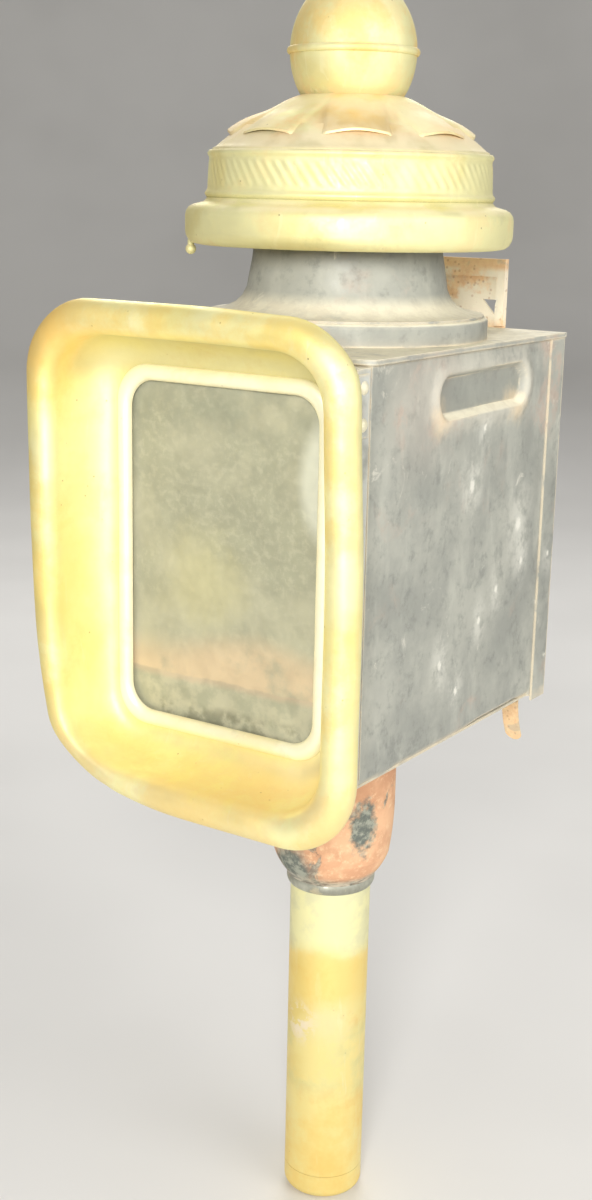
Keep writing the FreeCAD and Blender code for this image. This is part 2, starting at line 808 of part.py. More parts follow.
def vent_dome():
    """Dome pressed into petals whose raised lower edges leave slits for the hot air."""
    t = sheet
    mouth_radius = 40.0
    under_radius = 36.5
    lift = 2.4

    def dome_point(radius, raised=0.0):
        share = min(1.0, radius / dome_radius)
        return (radius, band_top_z + dome_rise * (1 - share ** dome_fullness) + raised)

    def below(point, depth):
        return (point[0], point[1] - depth)

    lower = spun(
        dome_point(dome_radius),
        dome_point(43.4),
        dome_point(mouth_radius),
        dome_point(under_radius),
        below(dome_point(under_radius), t),
        below(dome_point(mouth_radius), 1.2 * t),
        below(dome_point(43.0), 1.4 * t),
        (dome_radius - t, band_top_z),
    )
    edge = dome_point(mouth_radius + 1.2, lift)
    shoulder = dome_point(34.0, 1.8)
    slope = dome_point(27.0, 1.3)
    boss = (finial_seat_radius, finial_seat_z)
    outside = [boss, slope, shoulder, edge]
    inside = [below(point, t) for point in reversed(outside)]
    upper = spun((0.0, finial_seat_z), *outside, *inside, (0.0, finial_seat_z - t))
    upper = upper.cut(rod(bolt_radius, finial_seat_z - 5, finial_seat_z + 5))
    shape = lower.fuse(upper)
    gusset = spun(
        dome_point(25.0, 0.6),
        dome_point(34.0, 1.2),
        dome_point(mouth_radius + 1.6, 0.2),
        below(dome_point(mouth_radius + 1.6), 1.2 * t),
        below(dome_point(34.0), 1.2 * t),
        below(dome_point(25.0), 1.2 * t),
    )
    wedge_corners = [FreeCAD.Vector(x, y, 0) for x, y in ((20, 0), (50, -4.2), (50, 4.2), (20, 0))]
    for index in range(petals):
        prism = Part.Face(Part.makePolygon(wedge_corners)).extrude(up * (finial_seat_z + 5))
        prism.rotate(origin, up, 360.0 * index / petals + petal_turn)
        shape = shape.fuse(gusset.common(prism))
    return one_solid(shape)


def cap_sleeve():
    """Sleeve that slips over the neck, with a pierced web out to the band."""
    inner = neck_radius + gap
    outer = inner + sheet
    web_z = rim_top_z + 0.4
    sleeve = ring(outer, inner, rim_bottom_z + 1.5, web_z)
    web = ring(band_radius - sheet - 0.1, inner, web_z, web_z + sheet)
    middle = (outer + band_radius) / 2
    for step in range(16):
        angle = math.radians(22.5 * step)
        x = middle * math.cos(angle)
        y = middle * math.sin(angle)
        web = web.cut(rod(4.0, web_z - 1, web_z + 2, x, y))
    return one_solid(sleeve.fuse(web))


def baffle_disc():
    """Shallow cone on the finial bolt that keeps rain and wind off the flame."""
    hub_radius = 8.0
    return spun(
        (bolt_radius, baffle_hub_z),
        (bolt_radius, baffle_hub_z + sheet),
        (hub_radius, baffle_hub_z + sheet),
        (baffle_radius, baffle_z + sheet),
        (baffle_radius, baffle_z),
        (hub_radius, baffle_hub_z),
    )


def baffle_spacer():
    return ring(5.0, bolt_radius, baffle_hub_z + sheet, finial_seat_z - sheet)


def finial_bolt():
    """Long bolt from the finial down through the dome and the baffle."""
    head_z = finial_seat_z + sheet
    bolt = rod(bolt_radius, baffle_z + 0.4, head_z)
    return bolt.fuse(rod(bolt_radius + 2.6, head_z, head_z + 3.0))


def finial_nut():
    corner_radius = 5.2
    height = 3.6
    corners = []
    for corner in range(7):
        angle = math.radians(60 * corner)
        x = corner_radius * math.cos(angle)
        y = corner_radius * math.sin(angle)
        corners.append(FreeCAD.Vector(x, y, baffle_hub_z - height))
    nut = Part.Face(Part.makePolygon(corners)).extrude(up * height)
    return nut.cut(rod(bolt_radius, baffle_z, baffle_hub_z + 1))


def finial_shell(upper):
    """One spun half of the hollow finial, closed by an elliptical curve."""
    t = sheet
    sign = 1 if upper else -1

    def ellipse(radius, half_height, height):
        return radius * math.sqrt(max(0.0, 1 - (height / half_height) ** 2))

    seat = finial_seam_z - finial_seat_z
    reach = finial_half_height if upper else seat
    count = 7
    heights = [reach * math.sin(math.radians(90 * i / (count - 1))) for i in range(count)]
    outer = [FreeCAD.Vector(ellipse(finial_radius, finial_half_height, h), 0, finial_seam_z + sign * h)
             for h in heights]
    inner_reach = reach - t
    inner = [FreeCAD.Vector(ellipse(finial_radius - t, finial_half_height - t, h * inner_reach / reach), 0,
                            finial_seam_z + sign * h * inner_reach / reach) for h in heights]
    curves = []
    for points in (outer, inner):
        curve = Part.BSplineCurve()
        curve.interpolate(points)
        curves.append(curve.toShape())
    edges = curves + [line(outer[0], inner[0])]
    if upper:
        edges.append(line(outer[-1], inner[-1]))
    else:
        foot = (bolt_radius, 0, finial_seat_z)
        foot_top = (bolt_radius, 0, finial_seat_z + t)
        edges += [line(outer[-1], foot), line(foot, foot_top), line(foot_top, inner[-1])]
    return Part.Face(Part.Wire(Part.__sortEdges__(edges))).revolve(origin, up, 360)


def finial_bead():
    """Narrow hem where the two halves of the finial meet."""
    r = finial_radius
    return spun(
        (r, finial_seam_z - 1.2),
        (r + 0.3, finial_seam_z - 1.2),
        ((r + 1.0, finial_seam_z), (r + 0.3, finial_seam_z + 1.2)),
        (r, finial_seam_z + 1.2),
    )


def rim_stop():
    """Small round stop under the rim's left edge."""
    turn = math.radians(214)
    circle_radius = rim_lower_radius + 2.4
    x = circle_radius * math.cos(turn)
    y = circle_radius * math.sin(turn)
    ball_z = rim_bottom_z - 2.0
    ball = Part.makeSphere(1.8, FreeCAD.Vector(x, y, ball_z))
    return ball.fuse(rod(1.1, ball_z, rim_bottom_z + 1.2, x, y)).cut(cap_rim())


# ---- write every piece --------------------------------------------------------------------------------
hinge_low, hinge_high = hinge_bottoms()

pieces = {
    "candle_tube": candle_tube(),
    "tube_collar": tube_collar(),
    "collar_ring": collar_ring(),
    "end_cap": end_cap(),
    "candle_spring": candle_spring(),
    "candle_follower": candle_follower(),
    "candle": candle(),
    "candle_wick": candle_wick(),
    "candle_nozzle": candle_nozzle(),
    "side_sheet_right": side_sheet(1),
    "side_sheet_left": side_sheet(-1),
    "back_sheet": back_sheet(),
    "floor_sheet": floor_sheet(),
    "front_jamb": front_jamb(),
    "roof_plate": roof_plate(),
    "roof_drum": roof_drum(),
    "neck_foot": neck_foot(),
    "chimney_neck": chimney_neck(),
    "inner_cone": inner_cone(),
    "reflector": reflector(),
    "reflector_stays": reflector_stays(),
    "door_frame": door_frame(),
    "glass_pane": glass_pane(),
    "bezel": bezel(),
    "window_bead": window_bead(),
    "glass_clips": glass_clips(),
    "door_hinge_leaf_low": hinge_leaf(True, hinge_low),
    "door_hinge_leaf_high": hinge_leaf(True, hinge_high),
    "body_hinge_leaf_low": hinge_leaf(False, hinge_low),
    "body_hinge_leaf_high": hinge_leaf(False, hinge_high),
    "hinge_pins": hinge_pins(),
    "pull_tab": pull_tab(),
    "pull_tab_rivets": pull_tab_rivets(),
    "catch_lug": catch_lug(),
    "catch_spring": catch_spring(),
    "hanger_plate": hanger_plate(),
    "iron_channel": iron_channel(),
    "bracket_rivets": bracket_rivets(),
    "spring_prong_right": spring_prong(1),
    "spring_prong_left": spring_prong(-1),
    "prong_rivets": prong_rivets(),
    "cap_rim": cap_rim(),
    "cap_shoulder": cap_shoulder(),
    "roped_band": roped_band(),
    "vent_dome": vent_dome(),
    "cap_sleeve": cap_sleeve(),
    "baffle_disc": baffle_disc(),
    "baffle_spacer": baffle_spacer(),
    "finial_bolt": finial_bolt(),
    "finial_nut": finial_nut(),
    "finial_lower": finial_shell(False),
    "finial_upper": finial_shell(True),
    "finial_bead": finial_bead(),
    "rim_stop": rim_stop(),
}

os.makedirs("parts", exist_ok=True)
for name, shape in pieces.items():
    shape.exportStep(os.path.join("parts", name + ".step"))
    print(name, "solids", len(shape.Solids), "valid", shape.isValid(), "volume %.0f" % shape.Volume)
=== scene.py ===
import json
import math
import bmesh
import bpy
from mathutils import Matrix, Vector, noise


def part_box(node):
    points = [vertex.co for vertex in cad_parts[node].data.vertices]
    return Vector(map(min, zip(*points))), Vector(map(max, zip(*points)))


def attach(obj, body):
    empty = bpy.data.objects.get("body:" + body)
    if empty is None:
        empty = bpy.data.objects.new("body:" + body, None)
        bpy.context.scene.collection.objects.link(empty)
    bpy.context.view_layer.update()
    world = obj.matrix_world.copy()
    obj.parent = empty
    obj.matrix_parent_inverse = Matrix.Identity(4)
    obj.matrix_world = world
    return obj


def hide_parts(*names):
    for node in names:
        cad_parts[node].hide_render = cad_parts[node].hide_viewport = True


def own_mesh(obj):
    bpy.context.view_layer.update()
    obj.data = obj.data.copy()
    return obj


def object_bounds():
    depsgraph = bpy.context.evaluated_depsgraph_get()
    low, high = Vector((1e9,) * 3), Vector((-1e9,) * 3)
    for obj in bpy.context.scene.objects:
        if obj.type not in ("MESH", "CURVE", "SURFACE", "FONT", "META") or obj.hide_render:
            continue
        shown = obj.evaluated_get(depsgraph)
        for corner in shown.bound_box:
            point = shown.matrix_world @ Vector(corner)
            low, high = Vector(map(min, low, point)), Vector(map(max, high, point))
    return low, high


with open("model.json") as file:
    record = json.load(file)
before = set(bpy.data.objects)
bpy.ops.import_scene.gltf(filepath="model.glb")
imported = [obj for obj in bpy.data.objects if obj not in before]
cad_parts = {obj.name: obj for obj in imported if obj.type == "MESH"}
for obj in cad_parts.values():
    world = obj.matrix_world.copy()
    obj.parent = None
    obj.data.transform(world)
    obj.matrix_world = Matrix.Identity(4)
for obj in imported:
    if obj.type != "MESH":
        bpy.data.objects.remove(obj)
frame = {"nodes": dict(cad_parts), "record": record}

# A railway carriage candle lamp.  Metres, +Z up, window towards -Y, origin on the stem's axis.
mm = 0.001
cad_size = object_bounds()
slot_of = {part["node"]: part["material_slot"] for part in frame["record"]["subparts"]}
body_of = {node: body for body, nodes in frame["record"]["behaviour"]["bodies"].items() for node in nodes}


# ---- small helpers -------------------------------------------------------------------------------------
def tone(red, green, blue):
    """A display colour, 0 to 255, as the linear colour that shaders take."""
    linear = []
    for value in (red, green, blue):
        share = value / 255
        linear.append(share / 12.92 if share <= 0.04045 else ((share + 0.055) / 1.055) ** 2.4)
    return (*linear, 1.0)


def smooth(value, low, high):
    """0 below low, 1 above high, and a smooth rise between them."""
    share = max(0.0, min(1.0, (value - low) / (high - low)))
    return share * share * (3 - 2 * share)


def sway(point, size, seed=0.0):
    """Smooth noise between about -1 and 1, with features of the given size."""
    return noise.noise(Vector(point) / size + Vector((seed, -seed, 2.7 * seed)))


# ---- materials -----------------------------------------------------------------------------------------
class Recipe:
    """A material's node tree, put together with short calls.  Sizes are in metres in the row frame."""

    def __init__(self, name):
        self.material = bpy.data.materials.new(name)
        self.material.use_nodes = True
        self.tree = self.material.node_tree
        self.shader = self.tree.nodes["Principled BSDF"]
        coordinates = self.add("ShaderNodeTexCoord").outputs
        self.place = coordinates["Object"]
        self.x, self.y, self.z = self.add("ShaderNodeSeparateXYZ", {0: self.place}).outputs
        self.upward = self.add("ShaderNodeSeparateXYZ", {0: coordinates["Normal"]}).outputs["Z"]

    def add(self, kind, inputs=None, **settings):
        node = self.tree.nodes.new(kind)
        for setting, value in settings.items():
            setattr(node, setting, value)
        for socket, value in (inputs or {}).items():
            self.put(node.inputs[socket], value)
        return node

    def put(self, socket, value):
        if isinstance(value, bpy.types.NodeSocket):
            self.tree.links.new(value, socket)
        else:
            socket.default_value = value

    def scaled(self, stretch):
        return self.add("ShaderNodeMapping", {"Vector": self.place, "Scale": stretch}).outputs[0]

    def cloud(self, size, detail=6.0, rough=0.6, stretch=(1, 1, 1), warp=0.0):
        """Fractal noise, about 0.3 to 0.7, with features of the given size."""
        inputs = {"Vector": self.scaled(stretch), "Scale": 1 / size}
        inputs |= {"Detail": detail, "Roughness": rough, "Distortion": warp}
        return self.add("ShaderNodeTexNoise", inputs).outputs[0]

    def cells(self, size):
        """Distance from the nearest of many scattered points: 0 at a point."""
        return self.add("ShaderNodeTexVoronoi", {"Vector": self.place, "Scale": 1 / size}).outputs["Distance"]

    def rise(self, value, low, high):
        """0 where value is below low, 1 above high; low may be the larger, for a fall."""
        return self.add("ShaderNodeMapRange", {0: value, 1: low, 2: high, 3: 0.0, 4: 1.0},
                        interpolation_type="SMOOTHSTEP").outputs[0]

    def maths(self, operation, first, second=0.0):
        return self.add("ShaderNodeMath", {0: first, 1: second}, operation=operation).outputs[0]

    def both(self, first, *others):
        """Product, so that shares which all hold stay near 1."""
        for other in others:
            first = self.maths("MULTIPLY", first, other)
        return first

    def blend(self, share, first, second):
        """Colour that is first where share is 0, and second where it is 1."""
        return self.add("ShaderNodeMix", {0: share, 6: first, 7: second}, data_type="RGBA").outputs[2]

    def value(self, share, first, second):
        """Number between first, where share is 0, and second, where it is 1."""
        return self.add("ShaderNodeMapRange", {0: share, 1: 0.0, 2: 1.0, 3: first, 4: second}).outputs[0]

    def near(self, centre, radius, soft=0.4, wander=0.0, stretch=(1, 1, 1)):
        """1 inside a ball round a point and 0 outside, with a ragged edge where wander is above 0."""
        moved = self.add("ShaderNodeVectorMath", {0: self.place, 1: centre}, operation="SUBTRACT").outputs[0]
        moved = self.add("ShaderNodeVectorMath", {0: moved, 1: stretch}, operation="MULTIPLY").outputs[0]
        distance = self.add("ShaderNodeVectorMath", {0: moved}, operation="LENGTH").outputs["Value"]
        if wander:
            ragged = self.maths("SUBTRACT", self.cloud(radius * 0.7), 0.5)
            distance = self.maths("ADD", distance, self.both(ragged, wander))
        return self.rise(distance, radius * (1 + soft), radius * (1 - soft))

    def capsule(self, middle_y, middle_z, half_run):
        """Distance, in a side wall's plane, from a level line of the given half length."""
        along = self.maths("ABSOLUTE", self.maths("SUBTRACT", self.y, middle_y))
        run = self.maths("MAXIMUM", self.maths("SUBTRACT", along, half_run), 0.0)
        height = self.maths("SUBTRACT", self.z, middle_z)
        squares = self.maths("ADD", self.both(run, run), self.both(height, height))
        return self.maths("SQRT", squares)

    def worn_edges(self, width):
        """1 along the outer edges of a piece, where its surface turns sharply."""
        soft_normal = self.add("ShaderNodeBevel", {"Radius": width}, samples=4).outputs[0]
        true_normal = self.add("ShaderNodeNewGeometry").outputs["Normal"]
        product = self.add("ShaderNodeVectorMath", {0: soft_normal, 1: true_normal}, operation="DOT_PRODUCT")
        return self.rise(product.outputs["Value"], 0.995, 0.85)

    def hollows(self, reach):
        """1 deep in a corner or groove, 0 on open surfaces."""
        light = self.add("ShaderNodeAmbientOcclusion", {"Distance": reach}, samples=4).outputs["AO"]
        return self.rise(light, 0.85, 0.35)

    def bumped(self, *layers):
        """Stacks bumps, each (height, depth in metres, strength)."""
        normal = None
        for height, depth, strength in layers:
            inputs = {"Height": height, "Distance": depth, "Strength": strength}
            if normal is not None:
                inputs["Normal"] = normal
            normal = self.add("ShaderNodeBump", inputs).outputs[0]
        self.put(self.shader.inputs["Normal"], normal)

    def finish(self, colour, rough, metal=0.0, **others):
        """Feeds the shader; the other inputs are named with _ for a space."""
        self.put(self.shader.inputs["Base Color"], colour)
        self.put(self.shader.inputs["Roughness"], rough)
        self.put(self.shader.inputs["Metallic"], metal)
        for name, value in others.items():
            self.put(self.shader.inputs[name.replace("_", " ")], value)
        return self.material


def worn_black_paint():
    """Black paint gone grey with dust: pale scuffs and chips, rust tints, cream edges and upper faces."""
    m = Recipe("worn_black_paint")
    broad = m.cloud(0.045, detail=8, rough=0.65)
    fine = m.cloud(0.006, detail=8, rough=0.7)
    streaks = m.cloud(0.012, detail=6, stretch=(1, 1, 0.35))
    base = m.blend(m.rise(broad, 0.38, 0.62), tone(152, 153, 144), tone(176, 176, 164))
    base = m.blend(m.both(m.rise(fine, 0.50, 0.68), 0.5), base, tone(122, 124, 118))
    base = m.blend(m.both(m.rise(streaks, 0.50, 0.68), 0.35), base, tone(200, 200, 186))
    rust = m.both(m.rise(m.cloud(0.03, detail=10, warp=0.6), 0.54, 0.68),
                  m.rise(fine, 0.40, 0.58))
    base = m.blend(m.both(rust, 0.45), base, tone(206, 178, 158))
    scuffs = m.both(m.rise(m.cloud(0.016, detail=10, rough=0.75, warp=1.0), 0.59, 0.68),
                    m.rise(m.cloud(0.05), 0.42, 0.6))
    base = m.blend(m.both(scuffs, 0.8), base, tone(226, 223, 208))
    ragged = m.both(m.maths("SUBTRACT", m.cloud(0.006, detail=5), 0.5), 0.010)
    smeared = m.rise(m.cloud(0.007, detail=8, rough=0.7), 0.40, 0.60)
    for y, z, size in paint_chips:
        spot = (body_half, y * mm, z * mm)
        smudge = m.both(m.near(spot, 3 * size * mm, soft=0.9, stretch=(0.4, 1, 0.6)), smeared)
        base = m.blend(m.both(smudge, 0.5), base, tone(226, 224, 211))
        chip = m.near(spot, 0.7 * size * mm, soft=0.5, wander=1.1 * size * mm, stretch=(0.4, 1, 0.8))
        base = m.blend(m.both(chip, 0.75), base, tone(240, 237, 224))
    wall = m.rise(m.maths("ABSOLUTE", m.x), body_half - 4 * mm, body_half - 3 * mm)
    round_pocket = m.capsule(pocket_y, pocket_z, pocket_straight)
    border = m.both(wall, m.rise(round_pocket, pocket_half - 1 * mm, pocket_half + 0.8 * mm),
                    m.rise(m.maths("ADD", round_pocket, ragged), pocket_half + 8 * mm,
                           pocket_half + 1.5 * mm))
    base = m.blend(m.both(border, 0.4), base, tone(224, 217, 198))
    before_pocket = (body_half, pocket_y - 40 * mm, pocket_z)
    blush = m.both(wall, m.near(before_pocket, 17 * mm, soft=0.9, wander=14 * mm))
    base = m.blend(m.both(blush, 0.2), base, tone(222, 204, 186))
    sunk = m.both(wall, m.rise(round_pocket, pocket_half + 0.5 * mm, pocket_half - 1.5 * mm))
    base = m.blend(m.both(sunk, 0.5), base, tone(134, 136, 128))
    front_end = (body_half, pocket_y - pocket_straight - 5 * mm, pocket_z - 6 * mm)
    rear_end = (body_half, pocket_y + pocket_straight, pocket_z - 7 * mm)
    for spot in (front_end, rear_end):
        tint = m.near(spot, 5 * mm, soft=0.9, wander=8 * mm)
        base = m.blend(m.both(tint, 0.55), base, tone(240, 214, 172))
    front = m.both(m.rise(m.y, door_y + 1.5 * mm, door_y - 0.5 * mm),
                   m.rise(m.cloud(0.012, detail=8), 0.28, 0.52))
    base = m.blend(m.both(front, 0.75), base, tone(206, 208, 200))
    edges = m.both(m.worn_edges(1.4 * mm), m.rise(m.cloud(0.008), 0.34, 0.5))
    base = m.blend(m.both(edges, 0.85), base, tone(236, 220, 186))
    hem = m.both(m.rise(m.z, body_foot_z + 3.4 * mm, body_foot_z + 1.2 * mm),
                 m.rise(m.cloud(0.02), 0.36, 0.5))
    base = m.blend(m.both(hem, 0.5), base, tone(226, 212, 184))
    dust = m.both(m.rise(m.upward, 0.30, 0.85), m.rise(m.cloud(0.02, detail=8), 0.22, 0.46))
    dust_tone = m.blend(m.rise(fine, 0.4, 0.6), tone(250, 242, 214), tone(238, 229, 202))
    base = m.blend(m.both(dust, 0.92), base, dust_tone)
    base = m.blend(m.both(m.hollows(6 * mm), 0.35), base, tone(214, 196, 168))
    rough = m.value(m.rise(fine, 0.35, 0.65), 0.38, 0.58)
    rough = m.maths("ADD", rough, m.both(m.maths("MAXIMUM", dust, edges), 0.25))
    m.bumped((broad, 1.2 * mm, 0.25), (fine, 0.25 * mm, 0.35), (scuffs, 0.1 * mm, 0.4))
    return m.finish(base, rough, m.both(scuffs, 0.2))


def brass(name, bright, deep, stain, tarnish, stain_share, tarnish_share):
    """Old yellow brass: soft mottling, orange stains, greenish tarnish in the hollows and fine scratches."""
    m = Recipe(name)
    broad = m.cloud(0.05, detail=5, rough=0.55, warp=0.4)
    m.middle = m.cloud(0.018, detail=8, rough=0.6)
    m.fine = m.cloud(0.0022, detail=6, rough=0.7)
    base = m.blend(m.rise(broad, 0.46, 0.64), bright, deep)
    base = m.blend(m.both(m.rise(m.middle, 0.50, 0.66), stain_share), base, stain)
    blotches = m.both(m.rise(m.cloud(0.03), 0.56, 0.68), 0.45)
    m.green = m.maths("MAXIMUM", m.both(m.hollows(5 * mm), 0.9), blotches)
    base = m.blend(m.both(m.green, tarnish_share), base, tarnish)
    scratches = m.rise(m.cloud(0.004, detail=3, stretch=(1, 1, 0.12), warp=0.6), 0.61, 0.68)
    base = m.blend(m.both(scratches, 0.25), base, tone(255, 248, 205))
    m.pits = m.both(m.rise(m.cells(0.0048), 0.09, 0.03), m.rise(m.middle, 0.48, 0.58))
    base = m.blend(m.both(m.pits, 0.6), base, tone(150, 130, 80))
    return m, base


def brass_rough(m, smoothest):
    """Roughness of a brass recipe: higher in its stains and tarnish."""
    rough = m.value(m.rise(m.middle, 0.35, 0.65), smoothest, smoothest + 0.16)
    rough = m.maths("ADD", rough, m.both(m.rise(m.fine, 0.4, 0.65), 0.08))
    return m.maths("ADD", rough, m.both(m.green, 0.2))


def bezel_brass():
    """The hood: pale yellow in the cove with painted shade at its top, more orange round the lip and under
    the window.
    """
    bright, deep = tone(255, 247, 186), tone(253, 240, 164)
    m, base = brass("bezel_brass", bright, deep, tone(250, 222, 148), tone(206, 198, 144), 0.35, 0.5)
    lip = m.rise(m.y, hood_lip_y + 9 * mm, hood_lip_y + 1 * mm)
    orange = m.both(lip, m.rise(m.cloud(0.028, detail=7), 0.42, 0.56))
    base = m.blend(m.both(orange, 0.5), base, tone(248, 216, 118))
    corner = m.near((-0.056, hood_lip_y + 2 * mm, 0.210), 0.017, soft=0.7, wander=0.012)
    base = m.blend(m.both(corner, 0.75), base, tone(250, 208, 116))
    under = m.both(m.rise(m.z, window_low.z + 2 * mm, window_low.z - 8 * mm),
                   m.rise(m.cloud(0.03, detail=5), 0.36, 0.52))
    base = m.blend(m.both(under, 0.5), base, tone(250, 222, 162))
    # Greyish olive in the top of the cove, above the window: painted shade where the cove faces down.
    above = m.both(m.rise(m.z, window_high.z - 2 * mm, window_high.z + 5 * mm),
                   m.rise(m.y, hood_lip_y + 7 * mm, hood_lip_y + 14 * mm))
    base = m.blend(m.both(above, 0.55), base, tone(206, 198, 146))
    rough = brass_rough(m, 0.44)
    m.bumped((m.cloud(0.035, detail=3), 1.6 * mm, 0.25), (m.middle, 0.35 * mm, 0.3), (m.fine, 0.05 * mm, 0.4),
             (m.pits, 0.08 * mm, 0.5))
    return m.finish(base, rough, m.value(m.green, 0.62, 0.2))


def cap_brass():
    """The cap: yellow on the rim, dusty cream on upward faces, peach petals, greenish in the grooves."""
    bright, deep = tone(246, 240, 184), tone(238, 226, 160)
    m, base = brass("cap_brass", bright, deep, tone(244, 216, 158), tone(176, 172, 126), 0.35, 0.85)
    petals = m.both(m.rise(m.z, band_top_z + 1 * mm, band_top_z + 6 * mm),
                    m.rise(m.z, ball_foot_z + 4 * mm, ball_foot_z))
    peach = m.both(petals, m.rise(m.cloud(0.024, detail=5, warp=0.5), 0.42, 0.56))
    base = m.blend(m.both(peach, 0.65), base, tone(250, 212, 152))
    ball = m.both(m.rise(m.z, ball_foot_z + 1 * mm, ball_foot_z + 6 * mm),
                  m.rise(m.cloud(0.022, detail=6), 0.42, 0.58))
    base = m.blend(m.both(ball, 0.6), base, tone(250, 214, 130))
    above_band = m.both(m.rise(m.z, band_top_z - 1 * mm, band_top_z + 1 * mm),
                        m.rise(m.z, band_top_z + 7 * mm, band_top_z + 4 * mm))
    base = m.blend(m.both(above_band, 0.5), base, tone(240, 224, 192))
    dust = m.both(m.rise(m.upward, 0.35, 0.9), m.rise(m.cloud(0.015, detail=7), 0.36, 0.56))
    base = m.blend(m.both(dust, 0.45), base, tone(240, 222, 184))
    small_trim = m.both(m.rise(m.z, band_low.z - 28 * mm, band_low.z - 32 * mm),
                        m.value(m.rise(m.middle, 0.4, 0.6), 0.7, 1.0))
    base = m.blend(small_trim, base, tone(244, 238, 214))
    rough = brass_rough(m, 0.50)
    m.bumped((m.middle, 0.5 * mm, 0.3), (m.fine, 0.05 * mm, 0.4), (m.pits, 0.08 * mm, 0.5))
    return m.finish(base, rough, m.value(m.maths("MAXIMUM", m.green, dust), 0.6, 0.15))


def stem_brass():
    """The handled stem: a pale greenish band under the collar, then bands of orange and yellow."""
    bright, deep = tone(252, 234, 158), tone(246, 222, 136)
    m, base = brass("stem_brass", bright, deep, tone(244, 204, 118), tone(190, 184, 128), 0.5, 0.5)
    edge = m.maths("ADD", m.z, m.both(m.maths("SUBTRACT", m.cloud(0.02, detail=4), 0.5), 0.012))
    pale = m.rise(edge, -27 * mm, -15 * mm)
    greenish = m.blend(m.rise(m.middle, 0.42, 0.6), tone(243, 240, 184), tone(224, 224, 182))
    base = m.blend(m.both(pale, 0.85), base, greenish)
    belt = m.both(m.rise(edge, -20 * mm, -24 * mm), m.rise(edge, -46 * mm, -36 * mm))
    base = m.blend(m.both(belt, 0.55), base, tone(254, 222, 128))
    grey = m.both(m.rise(edge, -48 * mm, -56 * mm), m.rise(edge, -84 * mm, -74 * mm),
                  m.rise(m.middle, 0.42, 0.58))
    base = m.blend(m.both(grey, 0.6), base, tone(230, 226, 166))
    patch = m.both(m.near((-3.5 * mm, -14.6 * mm, -50 * mm), 7 * mm, soft=0.7, wander=6 * mm),
                   m.rise(m.cloud(0.004, detail=8, warp=0.5), 0.46, 0.56))
    base = m.blend(m.both(patch, 0.85), base, tone(255, 240, 212))
    cream = m.near((9 * mm, -12 * mm, -48 * mm), 7 * mm, soft=0.9, wander=7 * mm)
    base = m.blend(m.both(cream, 0.5), base, tone(254, 236, 190))
    low = m.both(m.rise(edge, -80 * mm, -92 * mm), m.rise(m.middle, 0.36, 0.54))
    base = m.blend(m.both(low, 0.5), base, tone(250, 216, 124))
    rough = brass_rough(m, 0.34)
    m.bumped((m.cloud(0.02, detail=3), 0.8 * mm, 0.2), (m.middle, 0.25 * mm, 0.3), (m.fine, 0.05 * mm, 0.4),
             (m.pits, 0.08 * mm, 0.5))
    return m.finish(base, rough, m.value(m.maths("MAXIMUM", m.green, pale), 0.6, 0.25))


def pale_bead():
    """The beading round the window: cream brass, barely metallic."""
    bright, deep = tone(255, 250, 218), tone(250, 240, 196)
    m, base = brass("pale_bead", bright, deep, tone(244, 226, 176), tone(186, 172, 138), 0.3, 0.7)
    m.bumped((m.middle, 0.3 * mm, 0.3), (m.fine, 0.05 * mm, 0.4))
    return m.finish(base, brass_rough(m, 0.4), m.value(m.green, 0.35, 0.1))


def inner_brass():
    """Brass parts inside the lamp, browned by heat and smoke."""
    bright, deep = tone(190, 168, 104), tone(168, 144, 84)
    m, base = brass("inner_brass", bright, deep, tone(120, 96, 60), tone(88, 78, 56), 0.6, 0.8)
    m.bumped((m.middle, 0.3 * mm, 0.4), (m.fine, 0.06 * mm, 0.4))
    return m.finish(base, brass_rough(m, 0.42), m.value(m.green, 0.8, 0.3))


def rusted_collar():
    """Salmon rust under the remains of dark paint, with bare grey metal on the rings at the bottom."""
    m = Recipe("rusted_collar")
    broad = m.cloud(0.02, detail=8, rough=0.6)
    fine = m.cloud(0.003, detail=8, rough=0.7)
    rust = m.blend(m.rise(broad, 0.40, 0.60), tone(240, 192, 150), tone(218, 164, 126))
    rust = m.blend(m.both(m.rise(fine, 0.50, 0.66), 0.6), rust, tone(250, 216, 172))
    paint = m.blend(m.rise(fine, 0.42, 0.60), tone(108, 114, 106), tone(166, 168, 152))
    left = m.maths("ADD", m.cloud(0.016, detail=9, rough=0.62, warp=0.8), m.both(m.x, -1.6))
    island = m.near((19.7 * mm, -10.7 * mm, 33 * mm), 5 * mm, soft=0.3, wander=8 * mm, stretch=(1, 1, 0.5))
    corner = m.near((-4 * mm, -19.5 * mm, 15 * mm), 9 * mm, soft=0.4, wander=9 * mm)
    flaked = m.maths("MAXIMUM", m.both(m.rise(left, 0.57, 0.62), 0.8), m.maths("MAXIMUM", island, corner))
    base = m.blend(flaked, rust, paint)
    rings = m.maths("ADD", m.z, m.both(m.cloud(0.01), 4 * mm))
    bare = m.rise(rings, 15 * mm, 11 * mm)
    grain = m.rise(m.cloud(0.005, detail=4, stretch=(1, 1, 4)), 0.42, 0.58)
    metal = m.blend(grain, tone(136, 134, 122), tone(212, 206, 186))
    base = m.blend(m.both(bare, 0.85), base, metal)
    m.bumped((flaked, 0.35 * mm, 0.8), (fine, 0.3 * mm, 0.5), (broad, 0.8 * mm, 0.3))
    return m.finish(base, m.value(bare, 0.78, 0.42), m.both(bare, 0.5))


